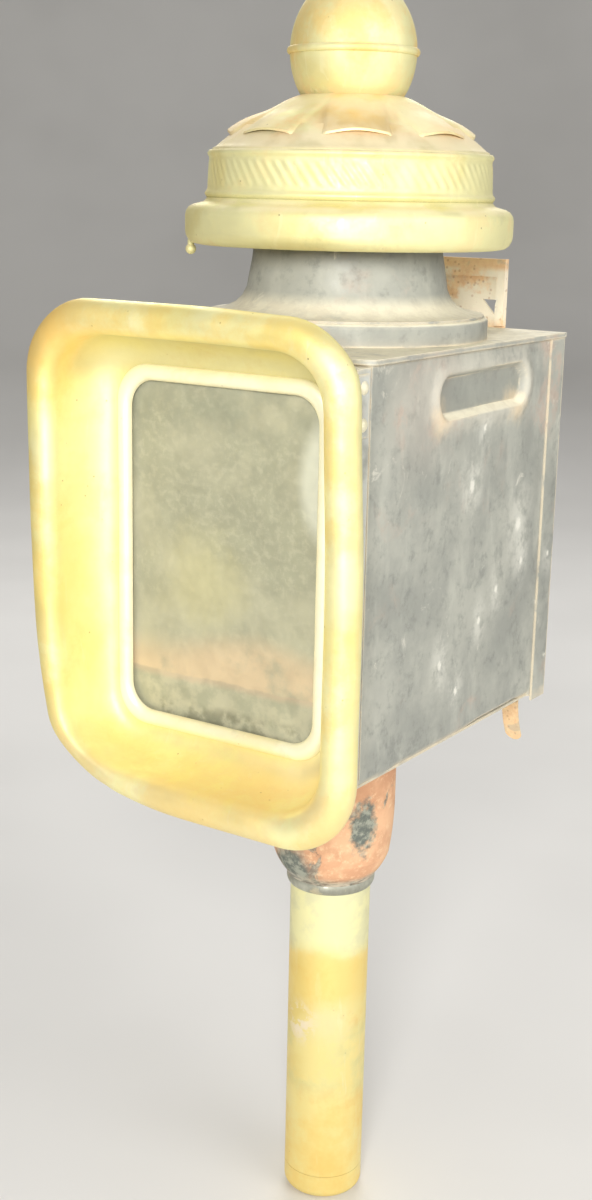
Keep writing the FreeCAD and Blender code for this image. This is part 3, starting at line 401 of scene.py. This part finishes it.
def rusted_iron():
    """Dry orange rust, with old pale paint left on the upper end of the plate behind the neck."""
    m = Recipe("rusted_iron")
    broad = m.cloud(0.014, detail=8, rough=0.65)
    fine = m.cloud(0.0022, detail=8, rough=0.75)
    base = m.blend(m.rise(broad, 0.38, 0.60), tone(248, 212, 164), tone(228, 188, 144))
    base = m.blend(m.both(m.rise(fine, 0.46, 0.64), 0.7), base, tone(248, 222, 176))
    paint = m.rise(m.cloud(0.009, detail=9, warp=0.4), 0.52, 0.64)
    base = m.blend(m.both(paint, 0.6), base, tone(190, 180, 158))
    plate = m.both(m.rise(m.z, 0.205, 0.212), m.rise(m.maths("ABSOLUTE", m.x), 30 * mm, 26 * mm))
    plate = m.both(plate, m.rise(m.z, 0.2295, 0.2270), m.rise(m.cloud(0.01, detail=7), 0.34, 0.5))
    base = m.blend(m.both(plate, 0.85), base, tone(246, 240, 218))
    pits = m.rise(m.cells(0.0024), 0.28, 0.10)
    base = m.blend(m.both(pits, 0.4), base, tone(170, 120, 88))
    m.bumped((broad, 0.6 * mm, 0.4), (fine, 0.25 * mm, 0.6), (pits, 0.15 * mm, 0.6))
    return m.finish(base, m.value(m.rise(fine, 0.35, 0.65), 0.72, 0.9))


def grey_metal(name, light, dark, smoothest, stain):
    """Dull bare metal with soft stains and fine scratches."""
    m = Recipe(name)
    broad = m.cloud(0.012, detail=7)
    fine = m.cloud(0.0015, detail=6, stretch=(1, 1, 0.25))
    base = m.blend(m.rise(broad, 0.38, 0.62), light, dark)
    base = m.blend(m.both(m.rise(m.cloud(0.006, detail=8), 0.54, 0.66), 0.6), base, stain)
    m.bumped((broad, 0.3 * mm, 0.3), (fine, 0.04 * mm, 0.5))
    rough = m.value(m.rise(fine, 0.35, 0.65), smoothest, smoothest + 0.2)
    return m.finish(base, rough, m.value(m.rise(broad, 0.45, 0.6), 0.85, 0.6))


def sooty_tinplate():
    """Tinplate over the flame, mostly black."""
    m = Recipe("sooty_tinplate")
    broad = m.cloud(0.02, detail=8, rough=0.65)
    base = m.blend(m.rise(broad, 0.40, 0.62), tone(58, 54, 50), tone(98, 92, 82))
    soot = m.rise(m.cloud(0.006, detail=8), 0.45, 0.6)
    base = m.blend(m.both(soot, 0.7), base, tone(28, 26, 25))
    m.bumped((broad, 0.4 * mm, 0.3), (soot, 0.15 * mm, 0.4))
    return m.finish(base, m.value(soot, 0.55, 0.9), m.value(soot, 0.5, 0.0))


def silvered_reflector():
    """Silvering that has spotted and browned."""
    m = Recipe("silvered_reflector")
    spots = m.rise(m.cloud(0.015, detail=9, rough=0.7, warp=0.8), 0.50, 0.60)
    base = m.blend(spots, tone(214, 212, 202), tone(120, 108, 84))
    m.bumped((m.cloud(0.03, detail=2), 0.5 * mm, 0.2), (spots, 0.05 * mm, 0.3))
    return m.finish(base, m.value(spots, 0.12, 0.55), m.value(spots, 1.0, 0.5))


def dusty_glass():
    """Plate glass under a layer of dust: at its foot a dark band of painted shade, darkest along the bead,
    with a rusty stain just above it, and a painted reflection near its right edge.
    """
    m = Recipe("dusty_glass")
    broad = m.cloud(0.03, detail=7, rough=0.6)
    fine = m.cloud(0.0025, detail=7, rough=0.7)
    base = m.blend(m.rise(broad, 0.40, 0.60), tone(172, 171, 144), tone(186, 183, 154))
    base = m.blend(m.both(m.rise(fine, 0.46, 0.62), 0.5), base, tone(194, 190, 162))
    shade = m.both(m.rise(m.z, window_high.z - 19 * mm, window_high.z - 9 * mm),
                   m.rise(m.cloud(0.014, detail=7), 0.40, 0.56))
    base = m.blend(m.both(shade, 0.4), base, tone(150, 153, 132))
    yellow = m.near((-0.008, window_y, window_low.z + 48 * mm), 0.014, soft=0.8, wander=0.02)
    base = m.blend(m.both(yellow, 0.45), base, tone(212, 204, 148))
    wander = m.both(m.maths("SUBTRACT", m.cloud(0.02, detail=6), 0.5), 5 * mm)
    band_edge = m.maths("ADD", m.z, wander)
    band_edge_z = window_low.z + 14.5 * mm
    hump = m.both(m.near((0.014, window_y, band_edge_z), 0.022, soft=0.9), 9 * mm)
    stain = m.both(m.rise(m.maths("SUBTRACT", band_edge, hump), band_edge_z + 15 * mm, band_edge_z + 1 * mm),
                   m.rise(m.cloud(0.03), 0.25, 0.5))
    base = m.blend(m.both(stain, 0.8), base, tone(226, 200, 160))
    # Below the line: a mottled band of painted shade, the shaded strip behind the foot of the glass.
    below = m.rise(band_edge, band_edge_z + 0.6 * mm, band_edge_z - 0.4 * mm)
    dark = m.blend(m.rise(m.cloud(0.008, detail=7), 0.40, 0.60), tone(174, 173, 145), tone(194, 190, 160))
    base = m.blend(below, base, dark)
    line = m.both(below, m.rise(band_edge, band_edge_z - 3 * mm, band_edge_z))
    base = m.blend(m.both(line, 0.35), base, tone(226, 186, 152))
    # Darker still at the foot, along the bead: painted shade, broken up by noise.
    bead_shade = m.both(m.rise(band_edge, band_edge_z - 8 * mm, band_edge_z - 12 * mm), m.rise(m.cloud(0.012), 0.40, 0.54))
    base = m.blend(m.both(bead_shade, 0.6), base, tone(104, 104, 82))
    # A pale oval near the right edge of the glass: painted reflection.
    glass_reflection = m.near((0.040, window_y, window_high.z - 26 * mm), 0.011, soft=0.25, stretch=(1, 1, 0.58))
    base = m.blend(m.both(glass_reflection, 0.75), base, tone(226, 226, 204))
    clear = m.value(m.rise(m.cloud(0.01, detail=8), 0.35, 0.65), 0.20, 0.08)
    m.bumped((fine, 0.06 * mm, 0.3), (m.cloud(0.05, detail=2), 0.4 * mm, 0.15))
    rough = m.value(m.rise(fine, 0.4, 0.6), 0.28, 0.46)
    return m.finish(base, rough, 0.0, Transmission_Weight=clear, IOR=1.5)


def wax():
    """Candle wax with runs down its side."""
    m = Recipe("wax")
    broad = m.cloud(0.012, detail=6)
    base = m.blend(m.rise(broad, 0.4, 0.6), tone(240, 234, 214), tone(226, 214, 184))
    runs = m.cloud(0.006, detail=3, stretch=(1, 1, 0.2))
    m.bumped((runs, 0.8 * mm, 0.5), (m.cloud(0.001), 0.03 * mm, 0.3))
    return m.finish(base, m.value(broad, 0.35, 0.6), 0.0, Subsurface_Weight=0.25)


def wick_cotton():
    """Burnt cotton."""
    m = Recipe("wick_cotton")
    weave = m.cloud(0.0006, detail=4, stretch=(1, 1, 0.5))
    base = m.blend(m.rise(weave, 0.4, 0.6), tone(30, 26, 24), tone(84, 74, 62))
    m.bumped((weave, 0.2 * mm, 0.8))
    return m.finish(base, m.value(weave, 0.8, 0.95))


def pale_studio():
    """Plain pale paper, faintly uneven."""
    m = Recipe("studio_floor")
    soft = m.cloud(0.4, detail=3)
    base = m.blend(m.rise(soft, 0.3, 0.7), tone(226, 224, 220), tone(216, 214, 210))
    return m.finish(base, 0.85)


# ---- mesh building -------------------------------------------------------------------------------------
def piece(name, node, points, faces, replaced=(), sharp=math.radians(35)):
    """New piece with a CAD node's body, slot and finish, in place of that node and of any others replaced."""
    mesh = bpy.data.meshes.new(name)
    mesh.from_pydata([tuple(p) for p in points], [], faces)
    return placed(name, mesh, node, replaced, sharp)


def placed(name, mesh, node, replaced=(), sharp=math.radians(35)):
    """The mesh as a piece: outward faces, smooth shading, and its node's body, slot and finish."""
    work = bmesh.new()
    work.from_mesh(mesh)
    bmesh.ops.recalc_face_normals(work, faces=work.faces)
    work.to_mesh(mesh)
    work.free()
    mesh.shade_smooth()
    mesh.set_sharp_from_angle(angle=sharp)
    mesh.materials.clear()
    mesh.materials.append(finishes[slot_of[node]])
    thing = bpy.data.objects.new(name, mesh)
    bpy.context.scene.collection.objects.link(thing)
    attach(thing, body_of[node])
    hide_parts(node, *replaced)
    return thing


def strips(rows, around=True, loop=True):
    """Quads between equal rows of points; around joins the last row to the first, loop a row's two ends."""
    width = len(rows[0])
    points = [point for row in rows for point in row]
    faces = []
    for row in range(len(rows) if around else len(rows) - 1):
        following = (row + 1) % len(rows)
        for column in range(width if loop else width - 1):
            nearby = (column + 1) % width
            faces.append((row * width + column, row * width + nearby,
                          following * width + nearby, following * width + column))
    return points, faces


def arc(centre, radius, start, end, count):
    """Points on an arc in a section plane, angles in degrees."""
    angles = [math.radians(start + (end - start) * step / (count - 1)) for step in range(count)]
    return [(centre[0] + radius * math.cos(a), centre[1] + radius * math.sin(a)) for a in angles]


def turned(section, count, dent=None):
    """Rows for a closed (radius, z) section spun about Z; dent gives a change of radius at a point."""
    rows = []
    for step in range(count):
        angle = 2 * math.pi * step / count
        row = []
        for radius, z in section:
            point = Vector((radius * math.cos(angle), radius * math.sin(angle), z))
            if dent:
                dented = radius + dent(point)
                point = Vector((dented * math.cos(angle), dented * math.sin(angle), z))
            row.append(point)
        rows.append(row)
    return rows


def walled(outside, thickness):
    """Closed section from an outside line of (radius, z) points and the same line moved inwards."""
    inside = []
    for index, (radius, z) in enumerate(outside):
        before = outside[max(0, index - 1)]
        after = outside[min(len(outside) - 1, index + 1)]
        along = Vector((after[0] - before[0], after[1] - before[1])).normalized()
        inside.append((radius - along.y * thickness, z + along.x * thickness))
    return outside + inside[::-1]


def softened(name, node, width):
    """Copy of a CAD node, in its place, with edges rounded to the given width."""
    mesh = frame["nodes"][node].data.copy()
    work = bmesh.new()
    work.from_mesh(mesh)
    bmesh.ops.remove_doubles(work, verts=work.verts, dist=1e-6)
    bmesh.ops.dissolve_limit(work, angle_limit=math.radians(2), verts=work.verts, edges=work.edges)
    work.to_mesh(mesh)
    work.free()
    thing = placed(name, mesh, node)
    bevel = thing.modifiers.new("edges", "BEVEL")
    bevel.width = width
    bevel.segments = 2
    bevel.limit_method = "ANGLE"
    bevel.angle_limit = math.radians(40)
    bevel.harden_normals = True
    return thing


# ---- positions, from the frame, and the few sizes that it doesn't give ------------------------------------
hood_low, hood_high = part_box("bezel")
hood_lip_y = hood_low.y
bead_low, bead_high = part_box("window_bead")
bead_width = 5.2 * mm
window_low = bead_low + Vector((bead_width, 0, bead_width))
window_high = bead_high - Vector((bead_width, 0, bead_width))
window_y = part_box("glass_pane")[0].y
band_low, band_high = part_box("roped_band")
band_top_z = band_high.z
ball_foot_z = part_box("finial_lower")[0].z
sheet = 0.8 * mm                                      # thickness of the turned and folded sheet
body_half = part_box("front_jamb")[1].x + sheet
body_foot_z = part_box("side_sheet_right")[0].z
door_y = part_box("door_frame")[1].y
pocket_y = 7.0 * mm                                   # the oblong pocket pressed into each side
pocket_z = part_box("side_sheet_right")[1].z - 13.7 * mm
pocket_straight = 24.6 * mm
pocket_half = 6.6 * mm
paint_chips = (                                       # y, z and size in mm, on the sides
    (1.4, 160, 2.2), (38, 141, 2.6), (42, 127, 1.5),
    (23, 120, 1.6), (11, 111, 1.4), (-16, 101, 1.8),
    (-4, 89, 1.5), (9, 179, 1.3), (63, 126, 1.3),
)

finishes = {
    "worn_black_paint": worn_black_paint(),
    "rusted_collar": rusted_collar(),
    "rusted_iron": rusted_iron(),
    "bezel_brass": bezel_brass(),
    "cap_brass": cap_brass(),
    "stem_brass": stem_brass(),
    "inner_brass": inner_brass(),
    "pale_bead": pale_bead(),
    "soft_solder": grey_metal("soft_solder", tone(208, 208, 192), tone(160, 160, 146), 0.46,
                              tone(222, 208, 172)),
    "dull_steel": grey_metal("dull_steel", tone(150, 148, 142), tone(104, 102, 98), 0.32,
                             tone(134, 104, 78)),
    "sooty_tinplate": sooty_tinplate(),
    "silvered_reflector": silvered_reflector(),
    "dusty_glass": dusty_glass(),
    "wax": wax(),
    "wick_cotton": wick_cotton(),
}
for node, thing in frame["nodes"].items():
    thing.data.materials.clear()
    thing.data.materials.append(finishes[slot_of[node]])


# ---- the hood and the bead round the window ---------------------------------------------------------------
window_corner = 9 * mm


def round_window(section, corner_at, racked):
    """Sweeps a closed section of (outward distance, y) round the window, and moves each point by racked."""
    steps = 14
    half_w = (window_high.x - window_low.x) / 2
    half_h = (window_high.z - window_low.z) / 2
    centre = (window_low + window_high) / 2
    rows = []
    for quarter, (side_x, side_z) in enumerate(((1, 1), (-1, 1), (-1, -1), (1, -1))):
        stations = [(kind, step / steps) for kind in ("corner", "side") for step in range(steps)]
        for kind, share in stations:
            row = []
            for outward, y in section:
                radius = corner_at(outward)
                w, h = half_w + outward, half_h + outward
                turn = math.radians(90 * quarter + (90 * share if kind == "corner" else 90))
                corner = Vector((side_x * (w - radius), 0, side_z * (h - radius)))
                point = corner + radius * Vector((math.cos(turn), 0, math.sin(turn)))
                if kind == "side":
                    run = 2 * ((w - radius) if quarter % 2 == 0 else (h - radius))
                    point += share * run * Vector((-math.sin(turn), 0, math.cos(turn)))
                point = Vector((centre.x + point.x, y, centre.z + point.z))
                row.append(racked(point, outward))
            rows.append(row)
    return rows


def build_hood():
    """Brass hood: a flange by the bead, a cove, and a broad lip rolled outwards, racked by old knocks."""
    thickness = 0.9 * mm
    lip_radius = 5.7 * mm
    lip_corner = 25 * mm
    lip_from, lip_to, lip_steps = 180, 405, 26
    reach = hood_high.x - window_high.x
    flange_y = hood_high.y
    flange_start = bead_width - 2.5 * mm
    lip_centre = (reach - lip_radius, hood_lip_y + lip_radius)
    cove_start = bead_width + 0.7 * mm
    cove_end = lip_centre[0] - lip_radius
    cove_steps = 15
    rise = flange_y - lip_centre[1]
    front = [(flange_start, flange_y - thickness), (bead_width, flange_y - thickness)]
    back = [(flange_start, flange_y), (bead_width, flange_y)]
    for step in range(cove_steps):
        angle = math.radians(90 * step / cove_steps)
        across = cove_start + (cove_end - cove_start) * math.sin(angle)
        forward = 1 - math.cos(angle)
        front.append((across, flange_y - thickness - forward * (rise - thickness)))
        back.append((across + thickness * math.sin(angle), flange_y - forward * rise))
    front += arc(lip_centre, lip_radius, lip_from, lip_to, lip_steps)
    back += arc(lip_centre, lip_radius - thickness, lip_from, lip_to, lip_steps)

    def corner_at(outward):
        return window_corner + (lip_corner - window_corner) * max(0.0, outward) / reach

    def racked(point, outward):
        """The lip pushed in: most at its lower left, less at the right and the top, and rippled all round."""
        weight = smooth(outward, cove_start, reach - lip_radius)
        x, z = point.x, point.z
        lean = max(0.0, (hood_high.z - 19 * mm - z) / (120 * mm))
        left = smooth(-x, 0, 45 * mm) * 6 * mm * min(1.25, lean) ** 4
        right = smooth(x, 0, 45 * mm) * (0.9 * mm + 2.6 * mm * smooth(z, 140 * mm, 205 * mm))
        corner = min(1.6, max(0.0, -x / (35 * mm)) ** 2)
        low = smooth(-z, -85 * mm, -62 * mm) * (0.3 * mm + 2.2 * mm * corner)
        high = smooth(z, 200 * mm, 218 * mm) * (1.2 * mm + 1.2 * mm * smooth(x, 0, 50 * mm))
        ripple = 0.5 * mm * sway((x, 0, z), 0.035, 4.0)
        lower_ripple = 0.6 * ripple if z < 130 * mm else 0.0
        shift = Vector((left - right, 0.6 * mm + ripple, low - high + lower_ripple))
        return point + weight * shift

    points, faces = strips(round_window(front + back[::-1], corner_at, racked))
    piece("hood", "bezel", points, faces, sharp=math.radians(60))


def build_bead():
    """Half-round beading, slightly uneven, with a narrow step on its inner side."""
    base_y = bead_high.y
    radius = bead_width / 2
    step_width = 0.35 * mm
    half_round = arc((radius, base_y), radius, -180, 0, 15)
    section = [(step_width, base_y)] + half_round + [(bead_width - step_width, base_y)]

    def corner_at(outward):
        return window_corner + 0.58 * max(0.0, outward)

    def racked(point, _outward):
        wave = 0.22 * mm * sway(point, 0.02, 9.0) * smooth(base_y - point.y, 0.2 * mm, 2 * mm)
        return point + Vector((wave, 0, wave))

    points, faces = strips(round_window(section, corner_at, racked))
    piece("window_beading", "window_bead", points, faces, sharp=math.radians(60))


# ---- the cap ----------------------------------------------------------------------------------------------
def build_rim():
    """Skirt, shoulder and cove in one turned piece with a few shallow dents."""
    rim_low, rim_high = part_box("cap_rim")
    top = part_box("cap_shoulder")[1].z
    r = rim_high.x
    z = rim_low.z
    band = band_high.x
    outside = [(r - 6.1 * mm, z + 1.5 * mm), (r - 5.6 * mm, z + 0.5 * mm), (r - 4.2 * mm, z + 0.05 * mm),
               (r - 2.4 * mm, z + 0.4 * mm), (r - 1.1 * mm, z + 1.4 * mm), (r - 0.3 * mm, z + 2.8 * mm),
               (r, z + 4.4 * mm), (r, z + 7 * mm), (r, z + 9.4 * mm), (r - 0.3 * mm, z + 10.9 * mm),
               (r - 1.2 * mm, z + 12.2 * mm), (r - 2.8 * mm, z + 13.1 * mm), (r - 4.6 * mm, z + 13.5 * mm),
               (r - 6.2 * mm, z + 14.0 * mm), (band - 0.3 * mm, top - 0.6 * mm), (band - 0.7 * mm, top)]

    def dent(point):
        return -0.35 * mm * (0.5 + 0.5 * sway(point, 0.03, 2.0))

    points, faces = strips(turned(walled(outside, sheet), 180, dent))
    piece("cap_skirt", "cap_rim", points, faces, ["cap_shoulder"], sharp=math.radians(60))


def build_band():
    """Upright band with a pressed rope pattern between two beads."""
    ropes = 80
    steps = 7                     # columns of points for each rope
    slant = 3.0                   # ropes passed from the foot of the band to its top
    taper = 0.9 * mm
    low, high = band_low.z, band_high.z
    r = band_high.x - taper
    height = high - low
    lines = 30
    rows = []
    for column in range(ropes * steps):
        angle = 2 * math.pi * column / (ropes * steps)
        row = []
        for line in range(lines + 1):
            up = line / lines
            low_bead = math.exp(-((up - 0.09) / 0.06) ** 2)
            high_bead = 0.9 * math.exp(-((up - 0.93) / 0.055) ** 2)
            field = smooth(up, 0.24, 0.32) * (1 - smooth(up, 0.72, 0.80))
            wave = math.sin(ropes * angle + slant * 2 * math.pi * (up - 0.5))
            crest = abs(wave) ** 0.7 * (1 if wave > 0 else -0.6)
            worn = 0.55 + 0.45 * sway((math.cos(angle), math.sin(angle), up), 0.5, 1.0)
            radius = r - taper * up + 0.85 * mm * max(low_bead, high_bead) + 0.30 * mm * field * worn * crest
            row.append(Vector((radius * math.cos(angle), radius * math.sin(angle), low + up * height)))
        inner = r - 1.7 * mm
        for up in (1.0, 0.5, 0.0):
            row.append(Vector((inner * math.cos(angle), inner * math.sin(angle), low + up * height)))
        rows.append(row)
    points, faces = strips(rows)
    piece("rope_band", "roped_band", points, faces, sharp=math.radians(70))


def build_dome():
    """Pressed dome of eight petals: their lower edges stand off in arches, with flat gussets between them."""
    petals = 8
    petal_columns = 36
    lines = 18
    skin = 0.75 * mm
    hole_radius = 2.5 * mm
    seam_turn = math.radians(-78)
    base_radius = 46.6 * mm
    base_rise = 19.4 * mm
    seat_radius = 17.3 * mm
    mouth_radius = 41.4 * mm
    low = band_top_z
    seat_z = ball_foot_z

    def dome(radius):
        return low + base_rise * (1 - min(1.0, radius / base_radius) ** 2.2)

    rows = []
    columns = petals * petal_columns
    for column in range(columns):
        angle = 2 * math.pi * column / columns
        share = ((angle - seam_turn) / (2 * math.pi / petals)) % 1.0
        off_seam = min(share, 1 - share)
        row = [Vector((radius * math.cos(angle), radius * math.sin(angle), seat_z))
               for radius in (hole_radius, 0.6 * seat_radius, seat_radius)]
        for step in range(1, lines + 1):
            reach = step / lines
            radius = seat_radius + (mouth_radius - seat_radius) * reach
            gusset = 0.12 * smooth(reach, 0.25, 1.0)
            standing = smooth(off_seam, gusset * 0.8, gusset * 0.8 + 0.10)
            arch = 0.55 + 0.45 * math.cos(math.pi * (off_seam - 0.5) / 0.5 * 0.9)
            lift = 2.2 * mm * smooth(reach, 0.35, 1.0) * standing * arch
            valley = -0.4 * mm * smooth(reach, 0.3, 0.9) * (1 - standing)
            ease = (seat_z - dome(seat_radius)) * (1 - smooth(reach, 0.0, 0.55))
            above = (radius * math.cos(angle), radius * math.sin(angle), 0)
            uneven = 0.35 * mm * sway(above, 0.018, 6.0) * smooth(reach, 0.1, 0.4)
            z = dome(radius) + ease + lift + valley + uneven
            out = radius - 0.8 * mm * (1 - standing) * reach
            row.append(Vector((out * math.cos(angle), out * math.sin(angle), z)))
        under = [point - Vector((0, 0, skin)) for point in row[::-1]]
        rows.append(row + under)
    points, faces = strips(rows)
    piece("petal_dome", "vent_dome", points, faces, sharp=math.radians(50))

    edge = [(base_radius, low), (base_radius - 0.3 * mm, low + 0.7 * mm)]
    for inward in (1.2, 2.8, 5.1, 7.6, 10.1):
        radius = base_radius - inward * mm
        edge.append((radius, dome(radius)))
    points, faces = strips(turned(walled(edge, sheet), 192))
    piece("dome_ring", "vent_dome", points, faces, sharp=math.radians(50))


# ---- the body ---------------------------------------------------------------------------------------------
def build_side(side):
    """Side of the box: pressed pocket, shallow dents, and a lower edge that has been knocked about."""
    hand = "right" if side > 0 else "left"
    node = f"side_sheet_{hand}"
    low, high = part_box(node)
    columns, lines = 150, 150

    def relief(y, z):
        """Outward distance of the surface from the flat sheet."""
        run = max(0.0, abs(y - pocket_y) - pocket_straight)
        distance = math.hypot(run, z - pocket_z) - pocket_half
        sunk = -2.4 * mm * (1 - smooth(distance, -1.2 * mm, 0.9 * mm))
        border = 0.9 * mm * smooth(distance, 0.0, 1.4 * mm) * (1 - smooth(distance, 2.2 * mm, 6.5 * mm))
        dents = 0.55 * mm * sway((y, 0, z), 0.038, 3.0 + side)
        dents += 0.25 * mm * sway((y, 0, z), 0.014, 5.0 + side)
        dents *= smooth(y - low.y, 0.0, 8 * mm) * smooth(high.y - y, 10 * mm, 18 * mm)
        dents *= smooth(high.z - z, 0.0, 6 * mm)
        hem = -1.5 * mm * (1 - smooth(z - low.z, 0.0, 5 * mm)) ** 2
        return sunk + border + dents + hem * smooth(high.y - y, 9 * mm, 12 * mm)

    rows = []
    for column in range(columns + 1):
        y = low.y + (high.y - low.y) * column / columns
        knock = smooth(y, -6 * mm, 16 * mm) * (1 - smooth(y, 42 * mm, 55 * mm))
        knock += 0.4 * (1 - smooth(abs(y + 38 * mm), 4 * mm, 26 * mm))
        foot = low.z + 2.3 * mm * knock + 0.3 * mm * (0.5 + 0.5 * sway((y, 0, 0), 0.012, 8.0 + side))
        outside = []
        for line in range(lines + 1):
            z = foot + (high.z - foot) * line / lines
            outside.append(Vector((side * (body_half + relief(y, z)), y, z)))
        inside = [point - Vector((side * sheet, 0, 0)) for point in outside[::-1]]
        rows.append(outside + inside)
    points, faces = strips(rows, around=False)
    width = len(rows[0])
    last = (len(rows) - 1) * width
    faces.append(tuple(range(width)))
    faces.append(tuple(last + index for index in range(width)))
    piece(f"side_panel_{hand}", node, points, faces, sharp=math.radians(45))


def build_neck():
    """Chimney neck and its flared foot, turned in one, with soft dents."""
    foot_low, foot_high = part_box("neck_foot")
    neck_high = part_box("chimney_neck")[1]
    foot = foot_high.x
    waist = neck_high.x
    top = 31.2 * mm
    z = foot_low.z
    outside = [(foot, z), (foot, z + 0.8 * mm), (foot - 2.6 * mm, z + 1.0 * mm),
               (foot - 5.6 * mm, z + 1.8 * mm), (foot - 8.6 * mm, z + 3.3 * mm),
               (foot - 10.8 * mm, z + 5.4 * mm), (waist, z + 8.6 * mm),
               (waist - 0.7 * mm, z + 13 * mm), (waist - 1.6 * mm, z + 18 * mm),
               (top + 1.1 * mm, z + 21 * mm), (top, z + 23.6 * mm), (top, z + 31 * mm), (top, neck_high.z)]

    def dent(point):
        fade = smooth(point.z, z + 1 * mm, z + 5 * mm) * (1 - smooth(point.z, z + 18 * mm, z + 21 * mm))
        return -0.4 * mm * fade * (0.6 + 0.6 * sway(point, 0.025, 7.0))

    points, faces = strips(turned(walled(outside, sheet), 144, dent))
    piece("neck", "chimney_neck", points, faces, ["neck_foot"], sharp=math.radians(40))


def build_spring():
    """Wire helix from the cap's floor up to the candle follower."""
    low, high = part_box("candle_spring")
    wire = 0.6 * mm
    radius = high.x - wire
    turns = 13
    around, per_turn = 8, 32
    bottom, top = low.z + wire, high.z - wire
    rows = []
    for step in range(turns * per_turn + 1):
        share = step / (turns * per_turn)
        angle = 2 * math.pi * turns * share
        closing = 0.5 - 0.5 * math.cos(math.pi * share)
        z = bottom + (top - bottom) * (0.8 * share + 0.2 * closing)
        out = Vector((math.cos(angle), math.sin(angle), 0))
        row = []
        for corner in range(around):
            a = 2 * math.pi * corner / around
            row.append(out * (radius + wire * math.cos(a)) + Vector((0, 0, z + wire * math.sin(a))))
        rows.append(row)
    points, faces = strips(rows, around=False)
    faces.append(tuple(range(around)))
    faces.append(tuple((len(rows) - 1) * around + corner for corner in range(around)))
    spring = piece("spring", "candle_spring", points, faces)
    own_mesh(spring)


build_hood()
build_bead()
build_rim()
build_band()
build_dome()
build_side(1)
build_side(-1)
build_neck()
build_spring()
edge_width = 0.3 * mm
softened("roof", "roof_plate", edge_width)
softened("back", "back_sheet", edge_width)
softened("door_tray", "door_frame", edge_width)
softened("hanger", "hanger_plate", edge_width)
softened("channel", "iron_channel", edge_width)
softened("prong_right", "spring_prong_right", edge_width)
softened("prong_left", "spring_prong_left", edge_width)
softened("tab", "pull_tab", edge_width)


# ---- floor, light and camera ------------------------------------------------------------------------------
camera_place = Vector((0.2972, -0.4750, 0.2562))
camera_turn = math.radians(33.59)
camera_drop = math.radians(14.43)
camera_roll = math.radians(1.21)


def build_floor():
    """Pale floor that curves up into a backdrop behind the lamp."""
    floor_z = cad_size[0][2] - 0.2 * mm
    half = 2.5
    front = -2.0
    flat_end = 1.2
    bend = 1.2
    bend_steps = 12
    top = 3.2
    profile = [(front, 0.0), (flat_end, 0.0)]
    for step in range(1, bend_steps + 1):
        angle = math.radians(90 * step / bend_steps)
        profile.append((flat_end + bend * math.sin(angle), bend * (1 - math.cos(angle))))
    profile.append((flat_end + bend, top))
    rows = [[Vector((x, y, floor_z + z)) for y, z in profile] for x in (-half, half)]
    points, faces = strips(rows, around=False, loop=False)
    mesh = bpy.data.meshes.new("studio_floor")
    mesh.from_pydata([tuple(p) for p in points], [], faces)
    mesh.shade_smooth()
    mesh.materials.append(pale_studio())
    floor = bpy.data.objects.new("studio_floor", mesh)
    bpy.context.scene.collection.objects.link(floor)
    floor.rotation_euler = (0, 0, camera_turn)


def add_light(name, place, target, size, power):
    """Round soft light that points at the target."""
    lamp = bpy.data.lights.new(name, "AREA")
    lamp.shape = "DISK"
    lamp.size = size
    lamp.energy = power
    thing = bpy.data.objects.new(name, lamp)
    bpy.context.scene.collection.objects.link(thing)
    thing.location = place
    thing.rotation_euler = (Vector(target) - Vector(place)).to_track_quat("-Z", "Y").to_euler()


def add_camera():
    """Portrait view from a little above, past the front right corner, with a slight roll."""
    lens = bpy.data.cameras.new("camera")
    lens.sensor_fit = "VERTICAL"
    lens.sensor_height = 36
    lens.lens = 48.18
    thing = bpy.data.objects.new("camera", lens)
    bpy.context.scene.collection.objects.link(thing)
    turn = Matrix.Rotation(camera_turn, 4, "Z")
    tilt = Matrix.Rotation(math.radians(90) - camera_drop, 4, "X")
    roll = Matrix.Rotation(camera_roll, 4, "Z")
    thing.matrix_world = Matrix.Translation(camera_place) @ turn @ tilt @ roll
    bpy.context.scene.camera = thing


add_camera()
build_floor()

middle = Vector((0, 0, 0.12))
add_light("key", (0.45, -0.85, 0.42), middle, 0.30, 8.5)
add_light("fill", (0.95, -0.15, 0.50), middle, 0.8, 4)
add_light("back", (-0.6, 0.9, 0.9), middle, 0.9, 9)

world = bpy.data.worlds.new("soft_studio")
world.use_nodes = True
sky = world.node_tree.nodes["Background"]
sky.inputs["Color"].default_value = (1.0, 0.99, 0.97, 1.0)
sky.inputs["Strength"].default_value = 0.36
bpy.context.scene.world = world
bpy.context.scene.view_settings.view_transform = "Standard"
